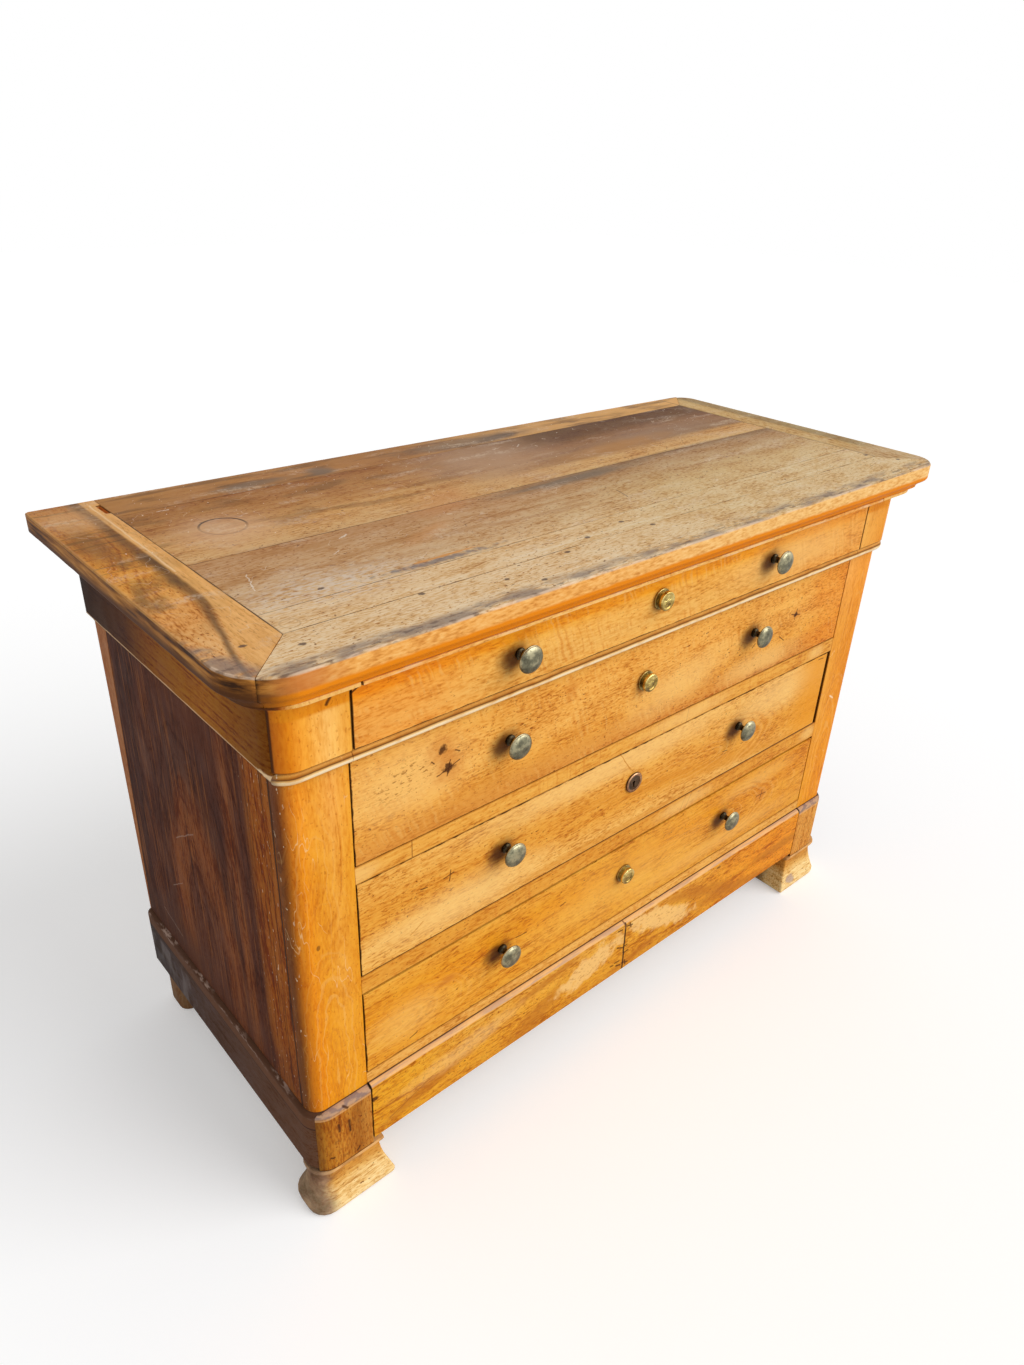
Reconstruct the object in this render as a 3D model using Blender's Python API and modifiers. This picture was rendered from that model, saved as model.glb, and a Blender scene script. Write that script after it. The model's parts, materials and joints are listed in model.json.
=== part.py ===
# A walnut commode with four drawers and a hidden plinth drawer, built piece by piece.
# Metres, +Z up. X runs along the front, -Y is the front, and Z is 0 on the floor.
# The origin is the middle of the footprint of the top, at floor level.

from math import asin, cos, degrees, pi, radians, sin

import bmesh
import bpy
from mathutils import Matrix, Vector

# Clearance between two pieces that touch, how far a cutter reaches past the wood that it trims, and the
# drawn size of the mark at each joint
GAP = 0.0003
CUT_MARGIN = 0.1
JOINT_MARK = 0.05

# Top
TOP_WIDTH = 1.250
TOP_DEPTH = 0.581
TOP_TAPER = 0.030
TOP_THICKNESS = 0.0413
NOSING = 0.0235
NOSING_UNDERCUT = 0.0155
NOSING_LIP = 0.0014
CORNER_FRONT_LEFT = 0.065
CORNER_FRONT_RIGHT = 0.045
CORNER_BACK_RIGHT = 0.034
CORNER_BACK_LEFT = 0.004
END_LEFT_WIDTH = 0.0875
END_RIGHT_WIDTH = 0.070
FRONT_RAIL_WIDTH = 0.0805
BACK_RAIL_WIDTH = 0.0810
FRONT_BOARD = 0.0525
MIDDLE_BOARD = 0.1640
FIELD_THICKNESS = 0.022
FIELD_LEDGE = 0.012

# How far the top stands out over the frieze, and how far frieze and plinth stand out over the body
OVERHANG_FRONT = 0.0375
OVERHANG_SIDE = 0.0425
OVERHANG_BACK = 0.030
FRIEZE_PROUD_FRONT = 0.0115
FRIEZE_PROUD_SIDE = 0.0085
PLINTH_PROUD_FRONT = 0.0085
PLINTH_PROUD_SIDE = 0.0055

# Heights, from the floor up
FOOT_HEIGHT = 0.080
RUNNER_THICKNESS = 0.0083
PLINTH_HEIGHT = 0.1135
RAIL_4 = 0.0197
OPENING_4 = 0.1441
RAIL_3 = 0.0300
OPENING_3 = 0.1471
RAIL_2 = 0.0259
OPENING_2 = 0.1474
RAIL_1 = 0.0190
FRIEZE_HEIGHT = 0.0934

# Frieze, bead and plinth mouldings
FRIEZE_CORNER = 0.032
FRIEZE_THICKNESS = 0.022
FRIEZE_JOINT = 0.016
FILLET_HEIGHT = 0.0046
FILLET_PROUD = 0.0225
COVE_HEIGHT = 0.0178
SIDE_DROP = 0.0065
SIDE_EDGE = 0.0010
SIDE_COVE = 0.0065
BEAD_PROUD = 0.0105
BEAD_ROOT = 0.004
BEAD_END_LAP = 0.002
MOULDING_SUNK = 0.0006
PLINTH_CORNER = 0.032
PLINTH_THICKNESS = 0.018
PLINTH_FACE = 0.0100
PLINTH_SHOULDER = 0.0085
PLINTH_CORNER_SET_IN = 0.0010
PLINTH_SIDE_RAISE = 0.0065

# Carcase
BODY_CORNER = 0.0205
STILE_WIDTH = 0.0832
STILE_DEPTH = 0.040
STILE_JOINT = 0.022
BACK_STILE = 0.039
BACK_JOINT_TOP = 0.039
BACK_JOINT_BOTTOM = 0.004
SIDE_PANEL = 0.018
HOUSING = 0.005
SHELF = 0.016
RAIL_DEPTH = 0.036
BACK_PANEL = 0.008
BACK_RAIL_HEIGHT = 0.026
BACK_RAIL_DEPTH = 0.025
GUIDE_WIDTH = 0.020
GUIDE_HEIGHT = 0.018
GUIDE_CLEARANCE = 0.0012
GUIDE_SET_IN = 0.004
RUNNER_LEDGE = 0.025

# Drawers
FRONT_THICKNESS = 0.022
FRONT_SIDE_GAP = 0.0020
FRONT_TOP_GAP = 0.0014
FRONT_BOTTOM_GAP = 0.0006
DRAWER_3_RIGHT_GAP = 0.0100
DRAWER_4_TOP_GAP = 0.0036
BOX_SIDE = 0.012
BOX_CLEARANCE = 0.0030
BOX_HEADROOM = 0.012
BOX_BACK_SPACE = 0.034
BOX_BACK_DROP = 0.004
BOX_BACK_SET_IN = 0.003
BOTTOM_THICKNESS = 0.007
BOTTOM_RAISE = 0.008
GROOVE = 0.006
TAIL_LENGTH = 0.014
TAIL_WIDTH = 0.026
TAIL_FLARE = 0.0025
TAIL_OPEN_END = 0.002

# Fittings
KNOB_SPREAD = 0.500
FITTING_SHIFT = -0.009
KNOB_HEIGHTS = (0.7707, 0.6446, 0.4749, 0.2931)
KNOB_RADIUS = 0.018
KNOB_LENGTH = 0.0265
KNOB_DISC = 0.0065
KNOB_RIM = 0.0015
KNOB_UNDERSIDE = ((0.97, 0.0008), (0.75, 0.0022), (0.42, 0.0040))
KNOB_NECK = 0.0085
KNOB_STEM = 0.0045
KNOB_BASE = 0.0075
KNOB_BASE_LENGTH = 0.0045
KNOB_BASE_EDGE = 0.0022
SHANK_RADIUS = 0.0025
SHANK_LENGTH = 0.014
SHANK_POINT = 0.002
BOSS_HEIGHTS = (0.7733, 0.6450, 0.4721, 0.2992)
BOSS_RADIUS = 0.0137
BOSS_LENGTH = 0.0125
BOSS_NECK = 0.0115
BOSS_NECK_LENGTH = 0.0025
BOSS_EDGE = 0.0015
BOSS_DISH = 0.0012
BOSS_RING = 0.0150
BOSS_RING_LENGTH = 0.0030
BOSS_RING_EDGE = 0.0010
KEY_PLATE_RADIUS = 0.0165
KEY_PLATE_LENGTH = 0.0035
KEY_PLATE_FLOOR = 0.0015
KEY_PLATE_EDGE = 0.0012
# Where the flat floor, the slope and the rim of the dished plate end, as shares of its radius
KEY_PLATE_DISH = (0.62, 0.78, 0.90)
KEY_RADIUS = 0.0026
KEY_SLOT_WIDTH = 0.0032
KEY_SLOT_LENGTH = 0.0085
KEY_BORE = 0.016
KEY_BORE_CLEARANCE = 0.0006

# Feet
FOOT_CAP = 0.0065
FOOT_WIDTH = 0.1055
FOOT_DEPTH = 0.056
FOOT_CORNER = 0.027
FOOT_EDGE = 0.003
FOOT_NECK = 0.0045
FOOT_FLARE_FRONT = 0.0080
FOOT_FLARE_SIDE = 0.0080
FOOT_FLARE_INNER = 0.0120
FOOT_BASE_BAND = 0.010
# How far the base has swelled out, as a share of the flare, at shares of the band's height
FOOT_BASE_CURVE = ((0.70, 0.0), (0.95, 0.3), (1.0, 0.7))
FOOT_HOLLOW_STEPS = 6
FOOT_CAP_SWELL = 0.0010
FOOT_RIGHT_SHIFT = 0.007
BACK_FOOT_SIZE = 0.060
BACK_FOOT_INSET = 0.010
BACK_FOOT_CORNER = 0.018

# Places worked out from the sizes above
TOP_HALF = TOP_WIDTH / 2
TOP_FRONT = -TOP_DEPTH / 2
TOP_BACK = TOP_DEPTH / 2
FRIEZE_HALF = TOP_HALF - OVERHANG_SIDE
FRIEZE_FRONT = TOP_FRONT + OVERHANG_FRONT
BODY_HALF = FRIEZE_HALF - FRIEZE_PROUD_SIDE
BODY_FRONT = FRIEZE_FRONT + FRIEZE_PROUD_FRONT
BODY_BACK = TOP_BACK - OVERHANG_BACK
PLINTH_HALF = BODY_HALF + PLINTH_PROUD_SIDE
PLINTH_FRONT = BODY_FRONT - PLINTH_PROUD_FRONT
OPENING_HALF = BODY_HALF - STILE_WIDTH
STILE_BACK = BODY_FRONT + STILE_DEPTH
PANEL_FRONT = BODY_FRONT + STILE_JOINT
PANEL_BACK = BODY_BACK - BACK_STILE
PANEL_INNER = BODY_HALF - SIDE_PANEL
BACK_INNER = BODY_BACK - BACK_PANEL
BACK_STILE_INNER = BODY_HALF - BACK_STILE
BOARD_INNER = FRIEZE_HALF - FRIEZE_THICKNESS
PLINTH_INNER = PLINTH_HALF - PLINTH_THICKNESS
FRIEZE_SPLIT = FRIEZE_FRONT + FRIEZE_JOINT
PLINTH_SPLIT = PLINTH_FRONT + PLINTH_FACE
BOX_BACK = BACK_INNER - BOX_BACK_SPACE

PLINTH_BOTTOM = FOOT_HEIGHT + GAP
RUNNER_TOP = PLINTH_BOTTOM + RUNNER_THICKNESS
PLINTH_TOP = PLINTH_BOTTOM + PLINTH_HEIGHT
Z4 = PLINTH_TOP + RAIL_4
Z3 = Z4 + OPENING_4 + RAIL_3
Z2 = Z3 + OPENING_3 + RAIL_2
Z1 = Z2 + OPENING_2 + RAIL_1
FRIEZE_TOP = Z1 + FRIEZE_HEIGHT
TOP_BOTTOM = FRIEZE_TOP + GAP
TOP_LEVEL = TOP_BOTTOM + TOP_THICKNESS
BEAD_BOTTOM = Z1 - RAIL_1

# Cutters end outside the whole commode
OUTSIDE = TOP_HALF + CUT_MARGIN
OVERHEAD = TOP_LEVEL + CUT_MARGIN

COLLECTIONS = {}


def fresh_scene():
    """Empties the scene and makes the two collections: the commode and its cutters."""
    for old in list(bpy.data.objects):
        bpy.data.objects.remove(old, do_unlink=True)
    for name in ("commode", "cutters"):
        COLLECTIONS[name] = bpy.data.collections.new(name)
        bpy.context.scene.collection.children.link(COLLECTIONS[name])


def surface(name, colour, roughness, metallic=0.0):
    """A Principled BSDF material."""
    material = bpy.data.materials.new(name)
    material.use_nodes = True
    shader = material.node_tree.nodes["Principled BSDF"]
    shader.inputs["Base Color"].default_value = (*colour, 1.0)
    shader.inputs["Roughness"].default_value = roughness
    shader.inputs["Metallic"].default_value = metallic
    material.diffuse_color = (*colour, 1.0)
    return material


def link(name, data, group="commode"):
    """An object for some data, in one of the two collections."""
    piece = bpy.data.objects.new(name, data)
    COLLECTIONS[group].objects.link(piece)
    if group == "cutters":
        piece.hide_render = True
        piece.display_type = "WIRE"
    return piece


def box(name, low, high, group="commode"):
    """A box between two corners."""
    low, high = Vector(low), Vector(high)
    mesh = bpy.data.meshes.new(name)
    work = bmesh.new()
    bmesh.ops.create_cube(work, size=1.0)
    bmesh.ops.scale(work, vec=high - low, verts=work.verts)
    bmesh.ops.translate(work, vec=(low + high) / 2, verts=work.verts)
    work.to_mesh(mesh)
    work.free()
    return link(name, mesh, group)


def both_sides(low, high, side):
    """The corners of a box given on the left (side -1), or mirrored to the right (side 1)."""
    if side < 0:
        return low, high
    return (-high[0], low[1], low[2]), (-low[0], high[1], high[2])


def as_mesh(curve_object, name, group="commode"):
    """Turns a curve object into a welded mesh object in the same place."""
    bpy.context.view_layer.update()
    evaluated = curve_object.evaluated_get(bpy.context.evaluated_depsgraph_get())
    mesh = bpy.data.meshes.new_from_object(evaluated)
    mesh.transform(curve_object.matrix_world)
    mesh.name = name
    work = bmesh.new()
    work.from_mesh(mesh)
    bmesh.ops.remove_doubles(work, verts=work.verts, dist=0.00001)
    bmesh.ops.dissolve_limit(work, angle_limit=radians(0.2), verts=work.verts, edges=work.edges)
    bmesh.ops.recalc_face_normals(work, faces=work.faces)
    work.to_mesh(mesh)
    work.free()
    bpy.data.objects.remove(curve_object, do_unlink=True)
    return link(name, mesh, group)


def poly_curve(name, points, cyclic):
    """A flat curve object through points."""
    curve = bpy.data.curves.new(name, "CURVE")
    curve.dimensions = "2D"
    spline = curve.splines.new("POLY")
    spline.points.add(len(points) - 1)
    for slot, (x, y) in zip(spline.points, points):
        slot.co = (x, y, 0.0, 1.0)
    spline.use_cyclic_u = cyclic
    return link(name, curve, "cutters")


AXES = {
    "X": Matrix(((0, 0, 1, 0), (1, 0, 0, 0), (0, 1, 0, 0), (0, 0, 0, 1))),
    "Y": Matrix(((1, 0, 0, 0), (0, 0, -1, 0), (0, 1, 0, 0), (0, 0, 0, 1))),
    "Z": Matrix.Identity(4),
}


def prism(name, outline, start, end, axis="Z", group="commode"):
    """A flat outline drawn out along an axis: (y, z) points for X, (x, z) for Y, (x, y) for Z."""
    flat = poly_curve(name + "_outline", outline, True)
    flat.data.fill_mode = "BOTH"
    flat.data.extrude = (end - start) / 2
    middle = (start + end) / 2
    lift = -middle if axis == "Y" else middle
    flat.matrix_world = AXES[axis] @ Matrix.Translation((0, 0, lift))
    return as_mesh(flat, name, group)


def sweep(name, path, profile, group="cutters"):
    """A moulding: a closed profile of (outwards, z) points carried along a path seen from above."""
    line = poly_curve(name + "_path", path, False)
    section = poly_curve(name + "_section", profile, True)
    line.data.bevel_mode = "OBJECT"
    line.data.bevel_object = section
    line.data.use_fill_caps = True
    moulding = as_mesh(line, name, group)
    bpy.data.objects.remove(section, do_unlink=True)
    return moulding


def combine(piece, tool, operation):
    """A live Boolean between a piece and a tool."""
    step = piece.modifiers.new(operation.lower() + "_" + tool.name, "BOOLEAN")
    step.operation = operation
    step.solver = "EXACT"
    step.object = tool


def cut(piece, tool):
    combine(piece, tool, "DIFFERENCE")


def cut_box(piece, low, high):
    """Cuts a box-shaped space out of a piece."""
    cut(piece, box(f"{piece.name}_cut_{len(piece.modifiers)}", low, high, "cutters"))


def add_box(piece, low, high):
    """Joins a box to a piece."""
    combine(piece, box(f"{piece.name}_add_{len(piece.modifiers)}", low, high, "cutters"), "UNION")


def clipped(name, source, low, high):
    """The part of a shared solid that lies inside a box, as its own object."""
    piece = link(name, source.data.copy())
    region = box(name + "_region", low, high, "cutters")
    combine(piece, region, "INTERSECT")
    return piece


def arc(centre, radius, start, end, steps):
    """Points on an arc, in degrees, both ends included."""
    angles = [radians(start + (end - start) * i / steps) for i in range(steps + 1)]
    return [(centre[0] + radius * cos(a), centre[1] + radius * sin(a)) for a in angles]


def inset(outline, distance):
    """A convex outline, given anticlockwise, moved in by a distance."""
    moved = []
    count = len(outline)
    for i in range(count):
        before, here, after = (Vector(outline[(i + k) % count]) for k in (-1, 0, 1))
        first = (here - before).normalized()
        second = (after - here).normalized()
        normal_1 = Vector((-first.y, first.x))
        normal_2 = Vector((-second.y, second.x))
        shift = (normal_1 + normal_2) * (distance / (1 + normal_1.dot(normal_2)))
        moved.append(tuple(here + shift))
    return moved


def ring_path(half, front, corner, back):
    """Down the left side, round the front corners and back along the right side."""
    left = arc((-half + corner, front + corner), corner, 180, 270, 8)
    right = arc((half - corner, front + corner), corner, 270, 360, 8)
    return [(-half, back), *left, *right, (half, back)]


def turned(name, profile, place, steps, group="commode"):
    """A piece turned about an axis that points to the front; profile is (radius, distance) points."""
    mesh = bpy.data.meshes.new(name)
    points = [(radius, 0.0, distance) for radius, distance in profile]
    mesh.from_pydata(points, [(i, i + 1) for i in range(len(points) - 1)], [])
    piece = link(name, mesh, group)
    screw = piece.modifiers.new("turn", "SCREW")
    screw.axis = "Z"
    screw.angle = 2 * pi
    screw.steps = steps
    screw.render_steps = steps
    screw.use_merge_vertices = True
    screw.merge_threshold = 0.00001
    piece.location = place
    piece.rotation_euler = (radians(90), 0, 0)
    return piece


def shade_round(piece, angle=40):
    """Smooth shading that keeps hard edges."""
    piece.data.shade_smooth()
    piece.data.set_sharp_from_angle(angle=radians(angle))


def finish(piece, material, parent=None):
    """Gives a piece its material and its parent."""
    piece.data.materials.clear()
    piece.data.materials.append(material)
    if parent:
        piece.parent = parent
        piece.matrix_parent_inverse = parent.matrix_world.inverted()
    return piece


def right_end(steps=10):
    """Right end of the top, from the front to the back: the back edge comes forward towards it."""
    back = TOP_BACK - TOP_TAPER
    front = arc((TOP_HALF - CORNER_FRONT_RIGHT, TOP_FRONT + CORNER_FRONT_RIGHT), CORNER_FRONT_RIGHT, 270, 360, steps)
    rounding = arc((TOP_HALF - CORNER_BACK_RIGHT, back - CORNER_BACK_RIGHT), CORNER_BACK_RIGHT, 0, 90, steps)
    return [*front, *rounding]


def left_front_corner(steps=12):
    """The rounded front corner of the top on the left."""
    centre = (-TOP_HALF + CORNER_FRONT_LEFT, TOP_FRONT + CORNER_FRONT_LEFT)
    return arc(centre, CORNER_FRONT_LEFT, 180, 270, steps)


def top_outline():
    """The plan of the top, anticlockwise from the back left."""
    corner = (-TOP_HALF + CORNER_BACK_LEFT, TOP_BACK - CORNER_BACK_LEFT)
    return [*arc(corner, CORNER_BACK_LEFT, 90, 180, 2), *left_front_corner(), *right_end()]


def top_blank():
    """The whole top as one moulded slab, which the framed pieces are then cut from."""
    slab = prism("top_blank", top_outline(), TOP_BOTTOM, TOP_LEVEL, group="cutters")
    edge_z = TOP_LEVEL - NOSING
    drop = edge_z - TOP_BOTTOM - NOSING_LIP
    below = TOP_BOTTOM - NOSING
    undercut = [(-NOSING_UNDERCUT * (0.5 - 0.5 * cos(pi * t / 6)), edge_z - drop * t / 6) for t in range(7)]
    profile = [*undercut, (-NOSING_UNDERCUT, below), (NOSING, below), (NOSING, edge_z)]
    path = [(-TOP_HALF, TOP_BACK + NOSING), *left_front_corner(), *right_end()]
    cut(slab, sweep("top_edge_cutter", path, profile))
    return slab


def make_top(wood):
    """Front rail, back rail, two end pieces and the field boards, framed and mitred."""
    slab = top_blank()
    left = -TOP_HALF + END_LEFT_WIDTH
    right = TOP_HALF - END_RIGHT_WIDTH
    front = TOP_FRONT + FRONT_RAIL_WIDTH
    back = TOP_BACK - BACK_RAIL_WIDTH
    ledge_top = TOP_LEVEL - FIELD_THICKNESS - GAP
    lower = TOP_BOTTOM - CUT_MARGIN
    upper = TOP_LEVEL + CUT_MARGIN

    inner_left, inner_right = left + FIELD_LEDGE, right - FIELD_LEDGE
    inner_front, inner_back = front + FIELD_LEDGE, back - FIELD_LEDGE
    reach = END_LEFT_WIDTH + FIELD_LEDGE + CUT_MARGIN
    outer_left, outer_right = inner_left - reach, inner_right + reach
    outer_front, outer_back = inner_front - reach, inner_back + reach
    regions = {
        "top_left_end": [
            (inner_left, outer_back), (outer_left, outer_back),
            (outer_left, outer_front), (inner_left, inner_front),
        ],
        "top_front_rail": [
            (inner_left, inner_front), (outer_left, outer_front),
            (outer_right, outer_front), (inner_right, inner_front),
        ],
        "top_right_end": [
            (inner_right, inner_front), (outer_right, outer_front),
            (outer_right, outer_back), (inner_right, inner_back),
        ],
        "top_back_rail": [
            (left, inner_back), (inner_right, inner_back),
            (outer_right, outer_back), (left, outer_back),
        ],
    }
    for name, outline in regions.items():
        piece = link(name, slab.data.copy())
        for step in slab.modifiers:
            cut(piece, step.object)
        combine(piece, prism(name + "_region", inset(outline, GAP / 2), lower, upper, group="cutters"), "INTERSECT")
        finish(piece, wood)

    pieces = COLLECTIONS["commode"].objects
    cut_box(pieces["top_left_end"], (left - GAP / 2, front - GAP / 2, ledge_top), (right, outer_back, upper))
    for name in ("top_front_rail", "top_right_end", "top_back_rail"):
        cut_box(pieces[name], (outer_left, front - GAP / 2, ledge_top), (right + GAP / 2, back + GAP / 2, upper))
    cut_box(
        pieces["top_back_rail"], (outer_left, front, lower), (inner_left + GAP, outer_back, ledge_top + GAP)
    )

    joints = (front, front + FRONT_BOARD, front + FRONT_BOARD + MIDDLE_BOARD, back)
    for word, near, far in zip(("front", "middle", "back"), joints, joints[1:]):
        low = (left + GAP / 2, near + GAP / 2, ledge_top + GAP)
        finish(box(f"top_board_{word}", low, (right - GAP / 2, far - GAP / 2, TOP_LEVEL)), wood)


def frieze_profile(on_side):
    """Outer face of the frieze: top fillet, cove and flat; on the sides it drops lower, to a second cove."""
    top_flat = FRIEZE_TOP - FILLET_HEIGHT
    face = [(FILLET_PROUD, FRIEZE_TOP), (FILLET_PROUD, top_flat)]
    for step in range(1, 9):
        angle = radians(90 - 90 * step / 8)
        face.append((FILLET_PROUD * (1 - cos(angle)), top_flat - COVE_HEIGHT * (1 - sin(angle))))
    if on_side:
        edge = Z1 - SIDE_DROP
        face += [(0.0, edge + SIDE_EDGE), (-SIDE_EDGE, edge)]
        cove = edge - BEAD_BOTTOM - GAP
        for step in range(1, 6):
            angle = radians(90 * step / 5)
            face.append((-SIDE_EDGE - SIDE_COVE * sin(angle), edge - cove * (1 - cos(angle))))
    else:
        face.append((0.0, Z1))
    return face


def make_frieze(block_wood, side_wood):
    """The corner blocks beside drawer 1 and the side boards behind them."""
    path = ring_path(FRIEZE_HALF, FRIEZE_FRONT, FRIEZE_CORNER, BODY_BACK)
    front_face = frieze_profile(False)
    side_face = frieze_profile(True)
    shapes = {}
    for key, face in (("front", front_face), ("side", side_face)):
        closed = [*face, (-FRIEZE_THICKNESS, face[-1][1]), (-FRIEZE_THICKNESS, FRIEZE_TOP)]
        shapes[key] = sweep(f"frieze_{key}_moulding", path, closed)
    for side, word in ((-1, "left"), (1, "right")):
        low, high = both_sides(
            (-OUTSIDE, -OUTSIDE, 0.0), (-OPENING_HALF, FRIEZE_SPLIT - GAP / 2, TOP_LEVEL), side
        )
        finish(clipped(f"frieze_block_{word}", shapes["front"], low, high), block_wood)
        low, high = both_sides(
            (-OUTSIDE, FRIEZE_SPLIT + GAP / 2, 0.0), (-BOARD_INNER - GAP, OUTSIDE, TOP_LEVEL), side
        )
        finish(clipped(f"frieze_side_{word}", shapes["side"], low, high), side_wood)


def half_round(height, proud, steps=8):
    """Half of an ellipse standing out from 0, from top to bottom, about height 0."""
    angles = [radians(90 - 180 * i / steps) for i in range(steps + 1)]
    return [((proud + MOULDING_SUNK) * cos(a) - MOULDING_SUNK, height / 2 * sin(a)) for a in angles]


def make_stiles(front_wood, back_wood):
    """Front corner posts with the bead wrapped round them, and back corner posts."""
    bead_mid = (Z1 + BEAD_BOTTOM) / 2
    bead_face = [(p, bead_mid + z) for p, z in half_round(RAIL_1 - 2 * GAP, BEAD_PROUD)]
    closed = [*bead_face, (-BEAD_ROOT, bead_face[-1][1]), (-BEAD_ROOT, bead_face[0][1])]
    bead = sweep("bead_moulding", ring_path(BODY_HALF, BODY_FRONT, BODY_CORNER, BODY_BACK), closed)
    corner = arc((-BODY_HALF + BODY_CORNER, BODY_FRONT + BODY_CORNER), BODY_CORNER, 180, 270, 8)
    plan = [
        *corner,
        (-OPENING_HALF, BODY_FRONT),
        (-OPENING_HALF, STILE_BACK),
        (-PANEL_INNER + GAP, STILE_BACK),
        (-PANEL_INNER + GAP, PANEL_FRONT - GAP),
        (-BODY_HALF, PANEL_FRONT - GAP),
    ]
    for side, word in ((-1, "left"), (1, "right")):
        outline = plan if side < 0 else [(-x, y) for x, y in reversed(plan)]
        stile = prism(f"front_stile_{word}", outline, PLINTH_TOP + GAP, FRIEZE_TOP)
        region_low, region_high = both_sides(
            (-OUTSIDE, -OUTSIDE, 0.0), (-OPENING_HALF, FRIEZE_SPLIT + BEAD_END_LAP, TOP_LEVEL), side
        )
        strip = link(f"bead_{word}", bead.data.copy(), "cutters")
        combine(strip, box(f"bead_{word}_region", region_low, region_high, "cutters"), "INTERSECT")
        combine(stile, strip, "UNION")
        cut_box(stile, *both_sides(
            (-OUTSIDE, FRIEZE_SPLIT - GAP, BEAD_BOTTOM), (-BOARD_INNER + GAP, OUTSIDE, OVERHEAD), side
        ))
        cut_box(stile, *both_sides(
            (-OUTSIDE, -OUTSIDE, Z1 - GAP), (-OPENING_HALF + CUT_MARGIN, FRIEZE_SPLIT + GAP, OVERHEAD), side
        ))
        finish(stile, front_wood)

        low, high = both_sides(
            (-BODY_HALF, PANEL_BACK, RUNNER_TOP + GAP), (-BACK_STILE_INNER, BODY_BACK, FRIEZE_TOP), side
        )
        post = box(f"back_stile_{word}", low, high)
        cut_box(post, *both_sides(
            (-OUTSIDE, -OUTSIDE, BEAD_BOTTOM), (-BOARD_INNER + GAP, OUTSIDE, OVERHEAD), side
        ))
        cut_box(post, *both_sides(
            (-OUTSIDE, -OUTSIDE, 0.0), (-PLINTH_INNER + GAP, OUTSIDE, PLINTH_TOP + GAP), side
        ))
        lap = panel_outline(PANEL_BACK - CUT_MARGIN, CUT_MARGIN, GAP / 2)
        ends = sorted((side * OUTSIDE, side * (PANEL_INNER - GAP)))
        cut(post, prism(f"{post.name}_lap", lap, *ends, "X", "cutters"))
        finish(post, back_wood)


SHELVES = ((1, Z1, RAIL_1), (2, Z2, RAIL_2), (3, Z3, RAIL_3), (4, Z4, RAIL_4))


def panel_outline(front, beyond, shift):
    """A side panel seen from the side: its back edge, which laps the back post, leans back towards the floor."""
    low, high = PLINTH_TOP + GAP, BEAD_BOTTOM
    top, bottom = BODY_BACK - BACK_JOINT_TOP, BODY_BACK - BACK_JOINT_BOTTOM
    lean = (bottom - top) / (high - low)
    return [
        (front, low - beyond), (bottom + lean * beyond + shift, low - beyond),
        (top - lean * beyond + shift, high + beyond), (front, high + beyond),
    ]


def make_side_panels(wood):
    """Side panels, housed for the four shelves and lapped over the back posts."""
    for side, word in ((-1, "left"), (1, "right")):
        outline = panel_outline(PANEL_FRONT, 0.0, -GAP / 2)
        panel = prism(f"side_panel_{word}", outline, *sorted((side * BODY_HALF, side * PANEL_INNER)), "X")
        for _, level, _ in SHELVES[1:]:
            cut_box(panel, *both_sides(
                (-PANEL_INNER - HOUSING, -OUTSIDE, level - SHELF - GAP),
                (-PANEL_INNER + CUT_MARGIN, PANEL_BACK - GAP, level + GAP), side
            ))
        finish(panel, wood)


def make_shelves(wood):
    """A shelf under each of the four main drawers: front rail, dust board and two guides."""
    rail_half = OPENING_HALF - GAP
    post = BACK_STILE_INNER - GAP
    rail_back = BODY_FRONT + RAIL_DEPTH
    for number, level, thickness in SHELVES:
        reach = BOARD_INNER - GAP if number == 1 else PANEL_INNER + HOUSING - GAP
        bottom = level - thickness + (GAP if number == 4 else 0.0)
        face = [(BODY_FRONT, bottom), (BODY_FRONT, level)]
        if number == 1:
            middle = level - thickness / 2
            bead = reversed(half_round(thickness - 2 * GAP, BEAD_PROUD))
            face = [(BODY_FRONT - out, middle + z) for out, z in bead]
        section = [
            (rail_back, level - SHELF), (rail_back, bottom), *face,
            (BACK_INNER - GAP, level), (BACK_INNER - GAP, level - SHELF),
        ]
        shelf = prism(f"shelf_{number}", section, -reach, reach, "X")
        inner = OPENING_HALF - BOX_CLEARANCE + GUIDE_CLEARANCE
        for side in (-1, 1):
            cut_box(shelf, *both_sides((-OUTSIDE, -OUTSIDE, 0.0), (-rail_half, STILE_BACK + GAP, OVERHEAD), side))
            cut_box(shelf, *both_sides((-OUTSIDE, PANEL_BACK - 2 * GAP, 0.0), (-post, OUTSIDE, OVERHEAD), side))
            add_box(shelf, *both_sides(
                (-inner - GUIDE_WIDTH, STILE_BACK + GUIDE_SET_IN, level - SHELF / 2),
                (-inner, BACK_INNER - GUIDE_SET_IN, level + GUIDE_HEIGHT), side
            ))
        finish(shelf, wood)


def make_back(wood):
    """Back panel between the back posts, and the rail that the top rests on behind drawer 1."""
    half = BACK_STILE_INNER - GAP
    finish(box("back_panel", (-half, BACK_INNER, RUNNER_TOP + GAP), (half, BODY_BACK, FRIEZE_TOP)), wood)
    rail_low = (-half, BACK_INNER - GAP - BACK_RAIL_DEPTH, FRIEZE_TOP - BACK_RAIL_HEIGHT)
    finish(box("back_top_rail", rail_low, (half, BACK_INNER - GAP, FRIEZE_TOP)), wood)


def plinth_face():
    """Outer face of the plinth: a worn round shoulder and a flat."""
    face = []
    for step in range(0, 6):
        angle = radians(90 * step / 5)
        face.append((PLINTH_SHOULDER * (sin(angle) - 1), PLINTH_TOP - PLINTH_SHOULDER * (1 - cos(angle))))
    return face


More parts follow.
